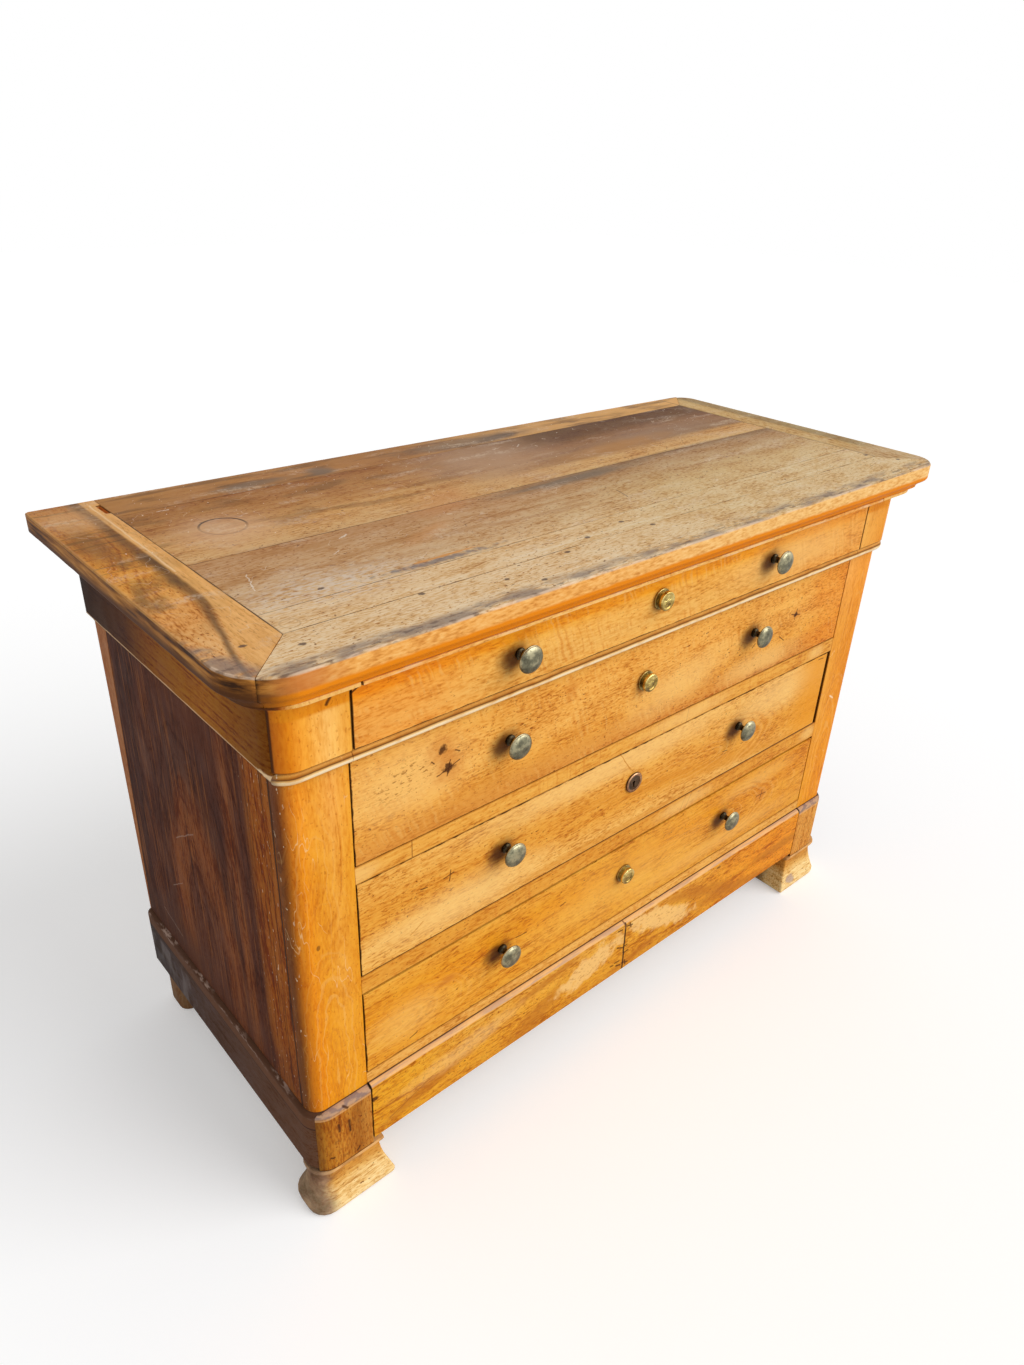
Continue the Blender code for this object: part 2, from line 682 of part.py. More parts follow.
def make_plinth(block_wood, side_wood, runner_wood):
    """Corner blocks, side boards, and the runners that carry the plinth drawer."""
    path = ring_path(PLINTH_HALF, PLINTH_FRONT, PLINTH_CORNER, BODY_BACK)
    face = [*plinth_face(), (0.0, PLINTH_BOTTOM)]
    closed = [*face, (-PLINTH_THICKNESS, PLINTH_BOTTOM), (-PLINTH_THICKNESS, PLINTH_TOP)]
    ring = sweep("plinth_moulding", path, closed)
    for side, word in ((-1, "left"), (1, "right")):
        low, high = both_sides(
            (-OUTSIDE, -OUTSIDE, 0.0), (-OPENING_HALF, PLINTH_SPLIT - GAP / 2, TOP_LEVEL), side
        )
        block = clipped(f"plinth_block_{word}", ring, low, high)
        add_box(block, *both_sides(
            (-PLINTH_INNER + GAP, PLINTH_SPLIT - PLINTH_FACE / 2, RUNNER_TOP + GAP),
            (-OPENING_HALF - PLINTH_CORNER_SET_IN, STILE_BACK, PLINTH_TOP - PLINTH_CORNER_SET_IN), side
        ))
        finish(block, block_wood)
        low, high = both_sides(
            (-OUTSIDE, PLINTH_SPLIT + GAP / 2, PLINTH_BOTTOM + PLINTH_SIDE_RAISE),
            (-PLINTH_INNER - GAP, OUTSIDE, TOP_LEVEL), side
        )
        finish(clipped(f"plinth_side_{word}", ring, low, high), side_wood)
        low, high = both_sides(
            (-PLINTH_INNER + GAP, PLINTH_SPLIT + GAP, PLINTH_BOTTOM),
            (-OPENING_HALF + RUNNER_LEDGE, BODY_BACK, RUNNER_TOP), side
        )
        finish(box(f"plinth_runner_{word}", low, high), runner_wood)


def rounded_plan(low, high, radii, steps=5):
    """A rounded rectangle, anticlockwise; radii run from the front right corner to the front left."""
    first, second, third, fourth = radii
    return [
        *arc((high[0] - first, low[1] + first), first, 270, 360, steps),
        *arc((high[0] - second, high[1] - second), second, 0, 90, steps),
        *arc((low[0] + third, high[1] - third), third, 90, 180, steps),
        *arc((low[0] + fourth, low[1] + fourth), fourth, 180, 270, steps),
    ]


def loft(name, sections):
    """A closed solid through plans of equally many points, each with its height, bottom first."""
    work = bmesh.new()
    rings = [[work.verts.new((x, y, z)) for x, y in plan] for plan, z in sections]
    count = len(rings[0])
    for lower, upper in zip(rings, rings[1:]):
        for i in range(count):
            j = (i + 1) % count
            work.faces.new((lower[i], lower[j], upper[j], upper[i]))
    work.faces.new(list(reversed(rings[0])))
    work.faces.new(rings[-1])
    mesh = bpy.data.meshes.new(name)
    work.to_mesh(mesh)
    work.free()
    return link(name, mesh)


def foot_sections(low, high, side):
    """A front foot from the floor up: a swelling base, a hollow neck and a thin cap."""
    neck_top = FOOT_HEIGHT - FOOT_CAP
    neck_height = neck_top - FOOT_BASE_BAND
    steps = [(share, FOOT_BASE_BAND * part) for share, part in FOOT_BASE_CURVE]
    for i in range(FOOT_HOLLOW_STEPS + 1):
        part = i / FOOT_HOLLOW_STEPS
        steps.append((1 - sin(radians(90 * part)), FOOT_BASE_BAND + neck_height * part))
    flares = [FOOT_FLARE_SIDE, FOOT_FLARE_FRONT, FOOT_FLARE_INNER, FOOT_FLARE_INNER]
    outer, sharp = FOOT_CORNER, FOOT_EDGE
    radii = [sharp, sharp, outer, outer]
    if side > 0:
        flares[0], flares[2] = flares[2], flares[0]
        radii = [outer, outer, sharp, sharp]
    sections = []
    for share, z in steps:
        left, front, right, back = (share * (flare + FOOT_NECK) - FOOT_NECK for flare in flares)
        plan = rounded_plan((low[0] - left, low[1] - front), (high[0] + right, high[1] + back), radii)
        sections.append((plan, z))
    swell = FOOT_CAP_SWELL
    for out, z in ((0.0, neck_top + swell), (swell, neck_top + FOOT_CAP / 2), (0.0, FOOT_HEIGHT)):
        sections.append((rounded_plan((low[0] - out, low[1] - out), (high[0] + out, high[1] + out), radii), z))
    return sections


def make_feet(wood, back_wood):
    """Two moulded front feet and two plain back feet."""
    for side, word in ((-1, "left"), (1, "right")):
        low = (-PLINTH_HALF, PLINTH_FRONT)
        high = (-PLINTH_HALF + FOOT_WIDTH, PLINTH_FRONT + FOOT_DEPTH)
        if side > 0:
            low, high = (-high[0] + FOOT_RIGHT_SHIFT, low[1]), (-low[0] + FOOT_RIGHT_SHIFT, high[1])
        foot = loft(f"foot_front_{word}", foot_sections(low, high, side))
        shade_round(foot)
        finish(foot, wood)

        low = (-PLINTH_HALF + BACK_FOOT_INSET, BODY_BACK - BACK_FOOT_SIZE)
        high = (low[0] + BACK_FOOT_SIZE, BODY_BACK)
        if side > 0:
            low, high = (-high[0], low[1]), (-low[0], high[1])
        block = prism(f"foot_back_{word}", rounded_plan(low, high, [BACK_FOOT_CORNER] * 4), 0.0, FOOT_HEIGHT)
        finish(block, back_wood)


def tail_outline(face, middle):
    """The socket for a dovetail, seen from the side: narrow at the back of the front, wide inside it."""
    root = TAIL_WIDTH / 2 - TAIL_FLARE + GAP
    tip = TAIL_WIDTH / 2 + GAP
    deep = face - TAIL_LENGTH - GAP
    open_end = face + TAIL_OPEN_END
    return [(open_end, middle - root), (open_end, middle + root), (deep, middle + tip), (deep, middle - tip)]


class Drawer:
    """Sizes of one drawer, taken from its opening."""

    def __init__(self, name, floor, height, face, right_gap=FRONT_SIDE_GAP, top_gap=FRONT_TOP_GAP, tails=3):
        self.name = name
        self.floor = floor
        self.height = height
        self.face = face
        self.left = -OPENING_HALF + FRONT_SIDE_GAP
        self.right = OPENING_HALF - right_gap
        self.front_low = floor + FRONT_BOTTOM_GAP
        self.front_high = floor + height - top_gap
        self.box_back_face = face + FRONT_THICKNESS
        self.box_left = -OPENING_HALF + BOX_CLEARANCE
        self.box_right = OPENING_HALF - max(BOX_CLEARANCE, right_gap + GAP)
        self.box_low = floor + GAP
        self.box_high = floor + height - BOX_HEADROOM
        self.tails = tails

    def tail_places(self):
        """Middle height of each dovetail."""
        pitch = (self.box_high - self.box_low) / self.tails
        return [self.box_low + pitch * (i + 0.5) for i in range(self.tails)]


def drawer_front(drawer, moulded_face):
    """The front board; a moulded one is drawn out along X from its profile."""
    if moulded_face:
        outline = [(drawer.face - out, z) for out, z in moulded_face]
        outline += [(drawer.box_back_face, moulded_face[-1][1]), (drawer.box_back_face, moulded_face[0][1])]
        return prism(f"{drawer.name}_front", outline, drawer.left, drawer.right, "X")
    low = (drawer.left, drawer.face, drawer.front_low)
    return box(f"{drawer.name}_front", low, (drawer.right, drawer.box_back_face, drawer.front_high))


def cut_sockets(front, drawer):
    """Blind dovetail sockets for the sides, and the groove for the bottom."""
    back = drawer.box_back_face
    for place in drawer.tail_places():
        outline = tail_outline(back, place)
        for word, start, end in (
            ("left", -OUTSIDE, drawer.box_left + BOX_SIDE + GAP),
            ("right", drawer.box_right - BOX_SIDE - GAP, OUTSIDE),
        ):
            name = f"{front.name}_socket_{word}_{len(front.modifiers)}"
            cut(front, prism(name, outline, start, end, "X", "cutters"))
    low = (drawer.box_left + GROOVE, back - GROOVE - GAP, drawer.box_low + BOTTOM_RAISE - GAP)
    high = (drawer.box_right - GROOVE, OUTSIDE, drawer.box_low + BOTTOM_RAISE + BOTTOM_THICKNESS + GAP)
    cut_box(front, low, high)


def drawer_box(drawer):
    """Two dovetailed sides and the back as one frame, grooved for the bottom."""
    near, far = drawer.box_back_face + GAP, BOX_BACK
    tip = near - TAIL_LENGTH
    outline = [(near, drawer.box_low)]
    for place in drawer.tail_places():
        low, high = place - TAIL_WIDTH / 2, place + TAIL_WIDTH / 2
        outline += [(near, low + TAIL_FLARE), (tip, low), (tip, high), (near, high - TAIL_FLARE)]
    outline += [(near, drawer.box_high), (far, drawer.box_high), (far, drawer.box_low)]
    left, right = drawer.box_left, drawer.box_right
    frame = prism(f"{drawer.name}_box", outline, left, left + BOX_SIDE, "X")
    combine(frame, prism(f"{frame.name}_right", outline, right - BOX_SIDE, right, "X", "cutters"), "UNION")
    groove_low = drawer.box_low + BOTTOM_RAISE - GAP
    groove_high = drawer.box_low + BOTTOM_RAISE + BOTTOM_THICKNESS + GAP
    add_box(
        frame,
        (left + BOX_SIDE / 2, far - BOX_BACK_SET_IN - BOX_SIDE, groove_low + BOTTOM_THICKNESS / 2),
        (right - BOX_SIDE / 2, far - BOX_BACK_SET_IN, drawer.box_high - BOX_BACK_DROP),
    )
    reach = BOX_SIDE - GROOVE
    cut_box(frame, (left + reach, -OUTSIDE, groove_low), (right - reach, OUTSIDE, groove_high))
    return frame


def drawer_bottom(drawer):
    """The bottom board, slid in from behind under the back."""
    reach = BOX_SIDE - GROOVE + GAP
    low = (drawer.box_left + reach, drawer.box_back_face - GROOVE, drawer.box_low + BOTTOM_RAISE)
    high = (drawer.box_right - reach, BOX_BACK, drawer.box_low + BOTTOM_RAISE + BOTTOM_THICKNESS)
    return box(f"{drawer.name}_bottom", low, high)


def make_knob(name, x, z, face):
    """A mushroom knob on a screw shank: thin stem and a domed disc."""
    rim = KNOB_LENGTH - KNOB_DISC
    profile = [(0.0, KNOB_LENGTH)]
    for step in range(1, 6):
        angle = radians(90 * step / 5)
        profile.append((KNOB_RADIUS * sin(angle), rim + KNOB_RIM + (KNOB_DISC - KNOB_RIM) * cos(angle)))
    profile += [(KNOB_RADIUS * share, rim - drop) for share, drop in KNOB_UNDERSIDE]
    profile += [
        (KNOB_STEM, rim - KNOB_NECK), (KNOB_STEM, KNOB_BASE_LENGTH), (KNOB_BASE, KNOB_BASE_EDGE), (KNOB_BASE, GAP),
        (SHANK_RADIUS, GAP), (SHANK_RADIUS, -SHANK_LENGTH), (0.0, -SHANK_LENGTH - SHANK_POINT),
    ]
    knob = turned(name, profile, (x, face, z), 20)
    shade_round(knob)
    return knob


def make_boss(name, z, face):
    """A round boss on a ring, which covers the keyhole."""
    neck_end = BOSS_RING_LENGTH + BOSS_NECK_LENGTH
    profile = [
        (0.0, BOSS_LENGTH - BOSS_DISH), (BOSS_RADIUS * 0.70, BOSS_LENGTH - BOSS_DISH * 0.8),
        (BOSS_RADIUS * 0.80, BOSS_LENGTH), (BOSS_RADIUS * 0.94, BOSS_LENGTH), (BOSS_RADIUS, BOSS_LENGTH - BOSS_EDGE),
        (BOSS_RADIUS, neck_end + BOSS_EDGE), (BOSS_NECK, neck_end), (BOSS_NECK, BOSS_RING_LENGTH),
        (BOSS_RING - BOSS_RING_EDGE, BOSS_RING_LENGTH), (BOSS_RING, BOSS_RING_LENGTH - BOSS_RING_EDGE),
        (BOSS_RING, GAP), (0.0, GAP),
    ]
    boss = turned(name, profile, (FITTING_SHIFT, face, z), 24)
    shade_round(boss)
    return boss


def keyhole_outline(x, z, grow=0.0):
    """A keyhole: a round hole with a slot below it."""
    radius = KEY_RADIUS + grow
    half = KEY_SLOT_WIDTH / 2 + grow
    opening = degrees(asin(half / radius))
    foot = z - KEY_SLOT_LENGTH - grow
    return [*arc((x, z), radius, opening - 90, 270 - opening, 10), (x - half, foot), (x + half, foot)]


def make_key_plate(name, z, face):
    """A dished round plate with a keyhole through it."""
    slope = KEY_PLATE_LENGTH - KEY_PLATE_EDGE / 2
    floor_end, slope_end, rim = (KEY_PLATE_RADIUS * share for share in KEY_PLATE_DISH)
    profile = [
        (0.0, KEY_PLATE_FLOOR), (floor_end, KEY_PLATE_FLOOR), (slope_end, slope), (rim, KEY_PLATE_LENGTH),
        (KEY_PLATE_RADIUS, KEY_PLATE_LENGTH - KEY_PLATE_EDGE), (KEY_PLATE_RADIUS, GAP), (0.0, GAP),
    ]
    plate = turned(name, profile, (FITTING_SHIFT, face, z), 28)
    shade_round(plate)
    cut(plate, prism(name + "_hole", keyhole_outline(FITTING_SHIFT, z), -OUTSIDE, 0.0, "Y", "cutters"))
    return plate


def make_drawer(drawer, number, woods, brass, moulded_face=None):
    """One drawer with its joint's parent, its three wooden pieces and its fittings."""
    slide = bpy.data.objects.new(f"{drawer.name}_slide", None)
    slide.location = (0.0, drawer.face, drawer.floor)
    slide.empty_display_size = JOINT_MARK
    COLLECTIONS["commode"].objects.link(slide)
    bpy.context.view_layer.update()

    front = drawer_front(drawer, moulded_face)
    cut_sockets(front, drawer)
    finish(front, woods["front"], slide)
    finish(drawer_box(drawer), woods["inside"], slide)
    finish(drawer_bottom(drawer), woods["inside"], slide)
    if number > len(KNOB_HEIGHTS):
        return
    knob_z = KNOB_HEIGHTS[number - 1]
    for side, word in ((-1, "left"), (1, "right")):
        x = FITTING_SHIFT + side * KNOB_SPREAD / 2
        knob = make_knob(f"knob_{number}_{word}", x, knob_z, drawer.face)
        finish(knob, brass, slide)
        bore, depth = SHANK_RADIUS + GAP, SHANK_LENGTH + SHANK_POINT + GAP
        drill = [(0.0, CUT_MARGIN), (bore, CUT_MARGIN), (bore, -depth), (0.0, -depth)]
        cut(front, turned(f"knob_hole_{number}_{word}", drill, (x, drawer.face, knob_z), 12, "cutters"))
    boss_z = BOSS_HEIGHTS[number - 1]
    if number == 3:
        plate = make_key_plate(f"escutcheon_{number}", boss_z, drawer.face)
        finish(plate, brass, slide)
        outline = keyhole_outline(FITTING_SHIFT, boss_z, KEY_BORE_CLEARANCE)
        cut(front, prism("keyhole_bore", outline, -OUTSIDE, drawer.face + KEY_BORE, "Y", "cutters"))
    else:
        finish(make_boss(f"escutcheon_{number}", boss_z, drawer.face), brass, slide)


def moulded_drawer_faces():
    """Faces of the two moulded fronts, trimmed to the gaps above and below them."""
    frieze = [(out, min(z, FRIEZE_TOP - 2 * GAP)) for out, z in frieze_profile(False)]
    frieze[-1] = (0.0, Z1 + FRONT_BOTTOM_GAP)
    plinth = [*plinth_face(), (0.0, RUNNER_TOP + FRONT_BOTTOM_GAP)]
    return frieze, plinth


def main():
    fresh_scene()
    top_wood = surface("walnut_top", (0.42, 0.27, 0.15), 0.55)
    front_wood = surface("walnut_front", (0.62, 0.33, 0.10), 0.35)
    side_wood = surface("walnut_side", (0.17, 0.085, 0.045), 0.45)
    foot_wood = surface("walnut_foot", (0.66, 0.45, 0.22), 0.45)
    inside_wood = surface("oak_inside", (0.50, 0.38, 0.24), 0.70)
    back_wood = surface("poplar_back", (0.36, 0.27, 0.18), 0.80)
    brass = surface("aged_brass", (0.42, 0.39, 0.25), 0.35, 1.0)

    make_top(top_wood)
    make_frieze(front_wood, side_wood)
    make_stiles(front_wood, side_wood)
    make_side_panels(side_wood)
    make_shelves(front_wood)
    make_back(back_wood)
    make_plinth(front_wood, side_wood, inside_wood)
    make_feet(foot_wood, back_wood)

    frieze_face, plinth_front_face = moulded_drawer_faces()
    woods = {"front": front_wood, "inside": inside_wood}
    make_drawer(Drawer("drawer_1", Z1, FRIEZE_HEIGHT, FRIEZE_FRONT, tails=2), 1, woods, brass, frieze_face)
    make_drawer(Drawer("drawer_2", Z2, OPENING_2, BODY_FRONT), 2, woods, brass)
    make_drawer(
        Drawer("drawer_3", Z3, OPENING_3, BODY_FRONT, right_gap=DRAWER_3_RIGHT_GAP), 3, woods, brass
    )
    make_drawer(Drawer("drawer_4", Z4, OPENING_4, BODY_FRONT, top_gap=DRAWER_4_TOP_GAP), 4, woods, brass)
    plinth_height = PLINTH_TOP - RUNNER_TOP
    make_drawer(
        Drawer("plinth_drawer", RUNNER_TOP, plinth_height, PLINTH_FRONT, tails=2), 5, woods, brass, plinth_front_face
    )


main()
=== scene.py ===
import json
from math import atan2, cos, pi, radians, sin

import bmesh
import bpy
from mathutils import Matrix, Vector, noise

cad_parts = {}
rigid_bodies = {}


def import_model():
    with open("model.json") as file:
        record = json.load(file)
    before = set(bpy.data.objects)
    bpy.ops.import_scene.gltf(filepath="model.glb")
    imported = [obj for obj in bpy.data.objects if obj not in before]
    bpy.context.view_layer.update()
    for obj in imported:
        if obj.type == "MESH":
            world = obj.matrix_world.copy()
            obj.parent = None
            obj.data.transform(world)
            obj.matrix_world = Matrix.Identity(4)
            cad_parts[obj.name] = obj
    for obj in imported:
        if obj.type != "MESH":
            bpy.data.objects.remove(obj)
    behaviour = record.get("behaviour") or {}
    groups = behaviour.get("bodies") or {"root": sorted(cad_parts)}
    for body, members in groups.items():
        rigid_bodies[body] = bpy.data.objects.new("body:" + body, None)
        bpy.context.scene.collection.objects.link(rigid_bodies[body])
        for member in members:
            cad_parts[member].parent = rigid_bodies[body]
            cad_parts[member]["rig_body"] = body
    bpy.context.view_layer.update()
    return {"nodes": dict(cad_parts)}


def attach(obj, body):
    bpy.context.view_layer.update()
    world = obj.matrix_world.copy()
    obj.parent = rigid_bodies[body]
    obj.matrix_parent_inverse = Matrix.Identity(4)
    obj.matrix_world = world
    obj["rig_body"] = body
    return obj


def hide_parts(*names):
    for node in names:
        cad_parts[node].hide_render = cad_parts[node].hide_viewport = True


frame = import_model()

# Main places of the commode, in metres
TOP = 0.862
NOSING = 0.0235
TOP_REACH = 0.2905
FRIEZE_FACE = -0.253
BODY_FACE = -0.2415
PLINTH_FACE = -0.25
FIELD_LEFT = -0.5375
FIELD_RIGHT = 0.555
BOARD_JOINTS = (-0.21, -0.1575, 0.0065, 0.2095)
DRAWER_HALF = 0.49
FITTING_SHIFT = -0.009
KNOB_OFFSET = 0.25
KNOB_HEIGHTS = (0.7707, 0.6446, 0.4749, 0.2931)
BOSS_HEIGHTS = (0.7733, 0.645, 0.4721, 0.2992)
SIDES = ((-1, "left"), (1, "right"))
TURN_STEPS = 48
AXES = "xyz"

# Wood colours
HONEY = (0.8, 0.37, 0.068)
PALE_HONEY = (0.86, 0.47, 0.125)
AMBER = (0.8, 0.28, 0.012)
RUSSET = (0.6, 0.19, 0.022)
SCORCH = (0.06, 0.016, 0.004)
# Near black: painted shade in gaps, recesses and under parts, and dirt in splits and marks
SHADE_AND_DIRT = (0.03, 0.011, 0.004)

# Camera, light and floor
CAMERA_PLACE = (-0.9395, -0.9963, 1.2925)
CAMERA_AXES = ((0.75459, -0.65533, 0.03356), (0.29729, 0.38701, 0.87284), (-0.58499, -0.64866, 0.48685))
CAMERA_LENS = 25.497
SUN_STRENGTH = 1.95
SUN_SPREAD = 50
SUN_SIDE = (0.5, -0.66, 0.54)
SKY_STRENGTH = 0.55
WHITE = (1, 1, 1)
FLOOR_REACH = 12
FLOOR_TONE = (0.82, 0.82, 0.82)
FLOOR_GLOW = 0.29


# Paint

def plug(socket, value):
    """Sets an input, or links it to what drives it."""
    if isinstance(value, Value):
        value = value.socket
    if isinstance(value, bpy.types.NodeSocket):
        socket.id_data.links.new(value, socket)
    elif isinstance(value, tuple) and len(value) == 3 and socket.type == "RGBA":
        socket.default_value = (*value, 1)
    else:
        socket.default_value = value


def add_node(tree, kind, inputs, **settings):
    """A shader node with its settings and its inputs."""
    made = tree.nodes.new("ShaderNode" + kind)
    for name, value in settings.items():
        setattr(made, name, value)
    for key, value in inputs.items():
        plug(made.inputs[key], value)
    return made


def combine(operation, *values):
    """One step of arithmetic on values and numbers."""
    tree = next(value for value in values if isinstance(value, Value)).socket.id_data
    return Value(add_node(tree, "Math", dict(enumerate(values)), operation=operation).outputs[0])


def most(*values):
    result = values[0]
    for value in values[1:]:
        result = combine("MAXIMUM", result, value)
    return result


class Value:
    """A number that varies over a surface; arithmetic on it builds the nodes."""

    def __init__(self, socket):
        self.socket = socket

    def __add__(self, other):
        return combine("ADD", self, other)

    def __sub__(self, other):
        return combine("SUBTRACT", self, other)

    def __rsub__(self, other):
        return combine("SUBTRACT", other, self)

    def __mul__(self, other):
        return combine("MULTIPLY", self, other)

    def __truediv__(self, other):
        return combine("DIVIDE", self, other)

    def __abs__(self):
        return combine("ABSOLUTE", self)

    __radd__ = __add__
    __rmul__ = __mul__

    def rise(self, low, high):
        """0 below low, 1 above high, eased between; with low above high it falls instead."""
        inputs = dict(enumerate((self, low, high, 0, 1)))
        made = add_node(self.socket.id_data, "MapRange", inputs, interpolation_type="SMOOTHSTEP")
        return Value(made.outputs[0])


class Paint:
    """One material, painted layer over layer from places on the commode."""

    def __init__(self, name, seed):
        self.material = bpy.data.materials.new(name)
        self.material.use_nodes = True
        self.tree = self.material.node_tree
        self.shader = self.tree.nodes["Principled BSDF"]
        self.place = self.node("TexCoord").outputs["Object"]
        self.x, self.y, self.z = map(Value, self.node("SeparateXYZ", {0: self.place}).outputs)
        self.seed = seed
        self.colour = None
        self.noises = {}

    def node(self, kind, inputs=None, **settings):
        return add_node(self.tree, kind, inputs or {}, **settings)

    def length(self, x, y):
        both = self.node("CombineXYZ", {0: x, 1: y, 2: 0}).outputs[0]
        return Value(self.node("VectorMath", {0: both}, operation="LENGTH").outputs["Value"])

    def noise(self, size, detail=2, shift=0):
        """Noise from 0 to 1 with features of a given size in metres, one number or one per axis."""
        sizes = size if isinstance(size, tuple) else (size,) * 3
        key = (sizes, detail, shift)
        if key not in self.noises:
            spread = self.node("VectorMath", {
                0: self.place, 1: tuple(1 / s for s in sizes), 2: (
                    self.seed + shift, self.seed * 1.7, shift,
                ),
            }, operation="MULTIPLY_ADD")
            made = self.node("TexNoise", {"Vector": spread.outputs[0], "Scale": 1, "Detail": detail})
            self.noises[key] = Value(made.outputs[0])
        return self.noises[key]

    def sway(self, amount, size, detail=2, shift=0):
        """Noise about nought, half the amount to either side."""
        return (self.noise(size, detail, shift) - 0.5) * amount

    def lines(self, value, detail):
        """Noise along one coordinate, for streaks."""
        made = self.node("TexNoise", {}, noise_dimensions="1D")
        for name, item in (("W", value), ("Scale", 1), ("Detail", detail)):
            plug(made.inputs[name], item)
        return Value(made.outputs[0])

    def ramp(self, value, stops):
        """Colours along a value; stops are (value, colour) with values from 0 to 1."""
        made = self.node("ValToRGB", {0: value})
        elements = made.color_ramp.elements
        while len(elements) < len(stops):
            elements.new(0.5)
        for element, (place, colour) in zip(elements, stops):
            element.position = place
            element.color = (*colour, 1)
        return made.outputs[0]

    def blend(self, amount, first, second, kind="MIX"):
        made = self.node("Mix", {}, data_type="RGBA", blend_type=kind)
        for index, item in ((0, amount), (6, first), (7, second)):
            plug(made.inputs[index], item)
        return made.outputs[2]

    def tint(self, mask, base, colour):
        """A base colour multiplied by another where the mask says."""
        return self.blend(mask, base, self.blend(1, base, colour, "MULTIPLY"))

    def bands(self, value, stops):
        """Colours laid across a coordinate in metres; stops are (place, colour) from low to high."""
        low, high = stops[0][0], stops[-1][0]
        return self.ramp((value - low) / (high - low), [((p - low) / (high - low), c) for p, c in stops])

    def spot(self, plane, centre, radii, turn=0, soft=0.6, ragged=0.35, size=0.012):
        """An uneven oval patch on a plane such as "xz"; 1 inside it."""
        u, v = (getattr(self, axis) - c for axis, c in zip(plane, centre))
        c, s = cos(radians(turn)), sin(radians(turn))
        reach = self.length((u * c + v * s) / radii[0], (v * c - u * s) / radii[1])
        return (reach + self.sway(2 * ragged, size, 3)).rise(1 + soft / 2, 1 - soft / 2)

    def stroke(self, plane, start, end, width, waver=0, size=0.02):
        """A line between two points on a plane; 1 on it."""
        start, end = Vector(start), Vector(end)
        way = (end - start).normalized()
        middle = (start + end) / 2
        u, v = (getattr(self, axis) - m for axis, m in zip(plane, middle))
        along = abs(u * way.x + v * way.y) - (end - start).length / 2
        across = v * way.x - u * way.y
        if waver:
            across = across + self.sway(2 * waver, size, 2, 3.1)
        return self.length(most(along, 0), across).rise(width * 0.8, width * 0.2)

    def lay(self, mask, colour, strength=1):
        """A colour over what is there, where the mask says."""
        self.colour = self.blend(mask * strength if strength != 1 else mask, self.colour, colour)

    def dab(self, plane, centre, radii, colour, strength, **shape):
        """An uneven oval patch of a colour."""
        self.lay(self.spot(plane, centre, radii, **shape), colour, strength)

    def dabs(self, plane, rows, colour, strength, **shape):
        """Several patches as one layer; rows are (centre, radii)."""
        self.lay(most(*[self.spot(plane, *row, **shape) for row in rows]), colour, strength)

    def marks(self, plane, rows, colour, strength):
        """Several strokes as one layer; rows are (start, end, width, waver, size of the waver)."""
        self.lay(most(*[self.stroke(plane, *row) for row in rows]), colour, strength)

    def finish(self, roughness, height, spread=0.12, bump=0.35, specular=0.05):
        """Gloss and relief from the grain."""
        self.shader.inputs["Specular IOR Level"].default_value = specular
        return self.close(self.sway(2 * spread, 0.035, 3, 5) + roughness, height, bump)

    def close(self, roughness, height, bump):
        relief = self.node("Bump", {"Strength": bump, "Distance": 0.0004, "Height": height})
        for name, value in (
            ("Roughness", roughness), ("Base Color", self.colour), ("Normal", relief.outputs[0]),
        ):
            plug(self.shader.inputs[name], value)
        return self.material


def sizes(along, long, short):
    """Noise sizes for grain that runs along one axis."""
    return tuple(long if axis == along else short for axis in AXES)


def walnut(paint, along, across, base, wander, streaks, clouds, grit, spacing, pores, flecks, bulges=()):
    """Wandering streaks, clouds, grit, pores and dark flecks over a base colour; returns the relief."""
    start = getattr(paint, across) if isinstance(across, str) else across
    slow = paint.sway(2 * wander, sizes(along, 0.42, 0.075))
    path = start + slow + paint.sway(wander * 0.45, sizes(along, 0.11, 0.022), 2, 1.3)
    for plane, centre, radii, lift in bulges:
        path = path + paint.spot(plane, centre, radii, soft=1.9, ragged=0.12, size=0.05) * lift
    fade = paint.noise(sizes(along, 0.2, 0.05), 2, 3.7).rise(0.38, 0.62)
    broad = paint.lines(path / spacing + paint.seed, 3)
    fine = paint.lines(path / 0.0042 + paint.seed, 2)
    cloud = paint.sway(0.72 * clouds, sizes(along, 0.075, 0.03), 3, 2.2)
    grain = paint.noise(sizes(along, 0.0105, 0.0026), 3, 5.5)
    streaky = ((broad - 0.5) * 1.1 + (fine - 0.5) * 0.6) * (fade * 0.9 + 0.25) * streaks
    tone = 0.5 + streaky + cloud + (grain - 0.5) * (1.05 * grit)
    stain = paint.ramp(tone, (
        (0.14, (0.56, 0.36, 0.17)), (0.37, (0.89, 0.78, 0.6)), (0.52, WHITE), (0.68, (1.05, 1.12, 1.2)),
        (0.92, (1.09, 1.24, 1.55)),
    ))
    paint.colour = paint.blend(1, base, stain, "MULTIPLY")
    pore = paint.noise(sizes(along, 0.0052, 0.0027), 1, 4).rise(0.64, 0.72)
    paint.colour = paint.blend(pore * pores, paint.colour, (0.56, 0.35, 0.17), "MULTIPLY")
    fleck = paint.noise(sizes(along, 0.0062, 0.0032), 1, 7).rise(0.7, 0.75)
    patchy = paint.noise(0.05, 2, 8).rise(0.42, 0.6)
    paint.colour = paint.blend(fleck * patchy * flecks, paint.colour, (0.24, 0.12, 0.05), "MULTIPLY")
    return fine * 0.2 + grain * 0.5 - pore * 0.8 - fleck


def knot(paint, centre, radius):
    """A dark knot on the front, with a stained halo and a ragged edge."""
    paint.dab("xz", centre, (radius * 3.2, radius * 2.8), RUSSET, 0.55, soft=1.7, ragged=0.6)
    paint.dab("xz", centre, (radius * 1.3, radius), SCORCH, 0.9, soft=0.7, ragged=1.1, size=0.006)


def nicks(paint, places, width=0.0016):
    """Small dark strokes on the front, each (start, end)."""
    paint.marks("xz", [(start, end, width, 0.001, 0.006) for start, end in places], SCORCH, 0.85)


# The top

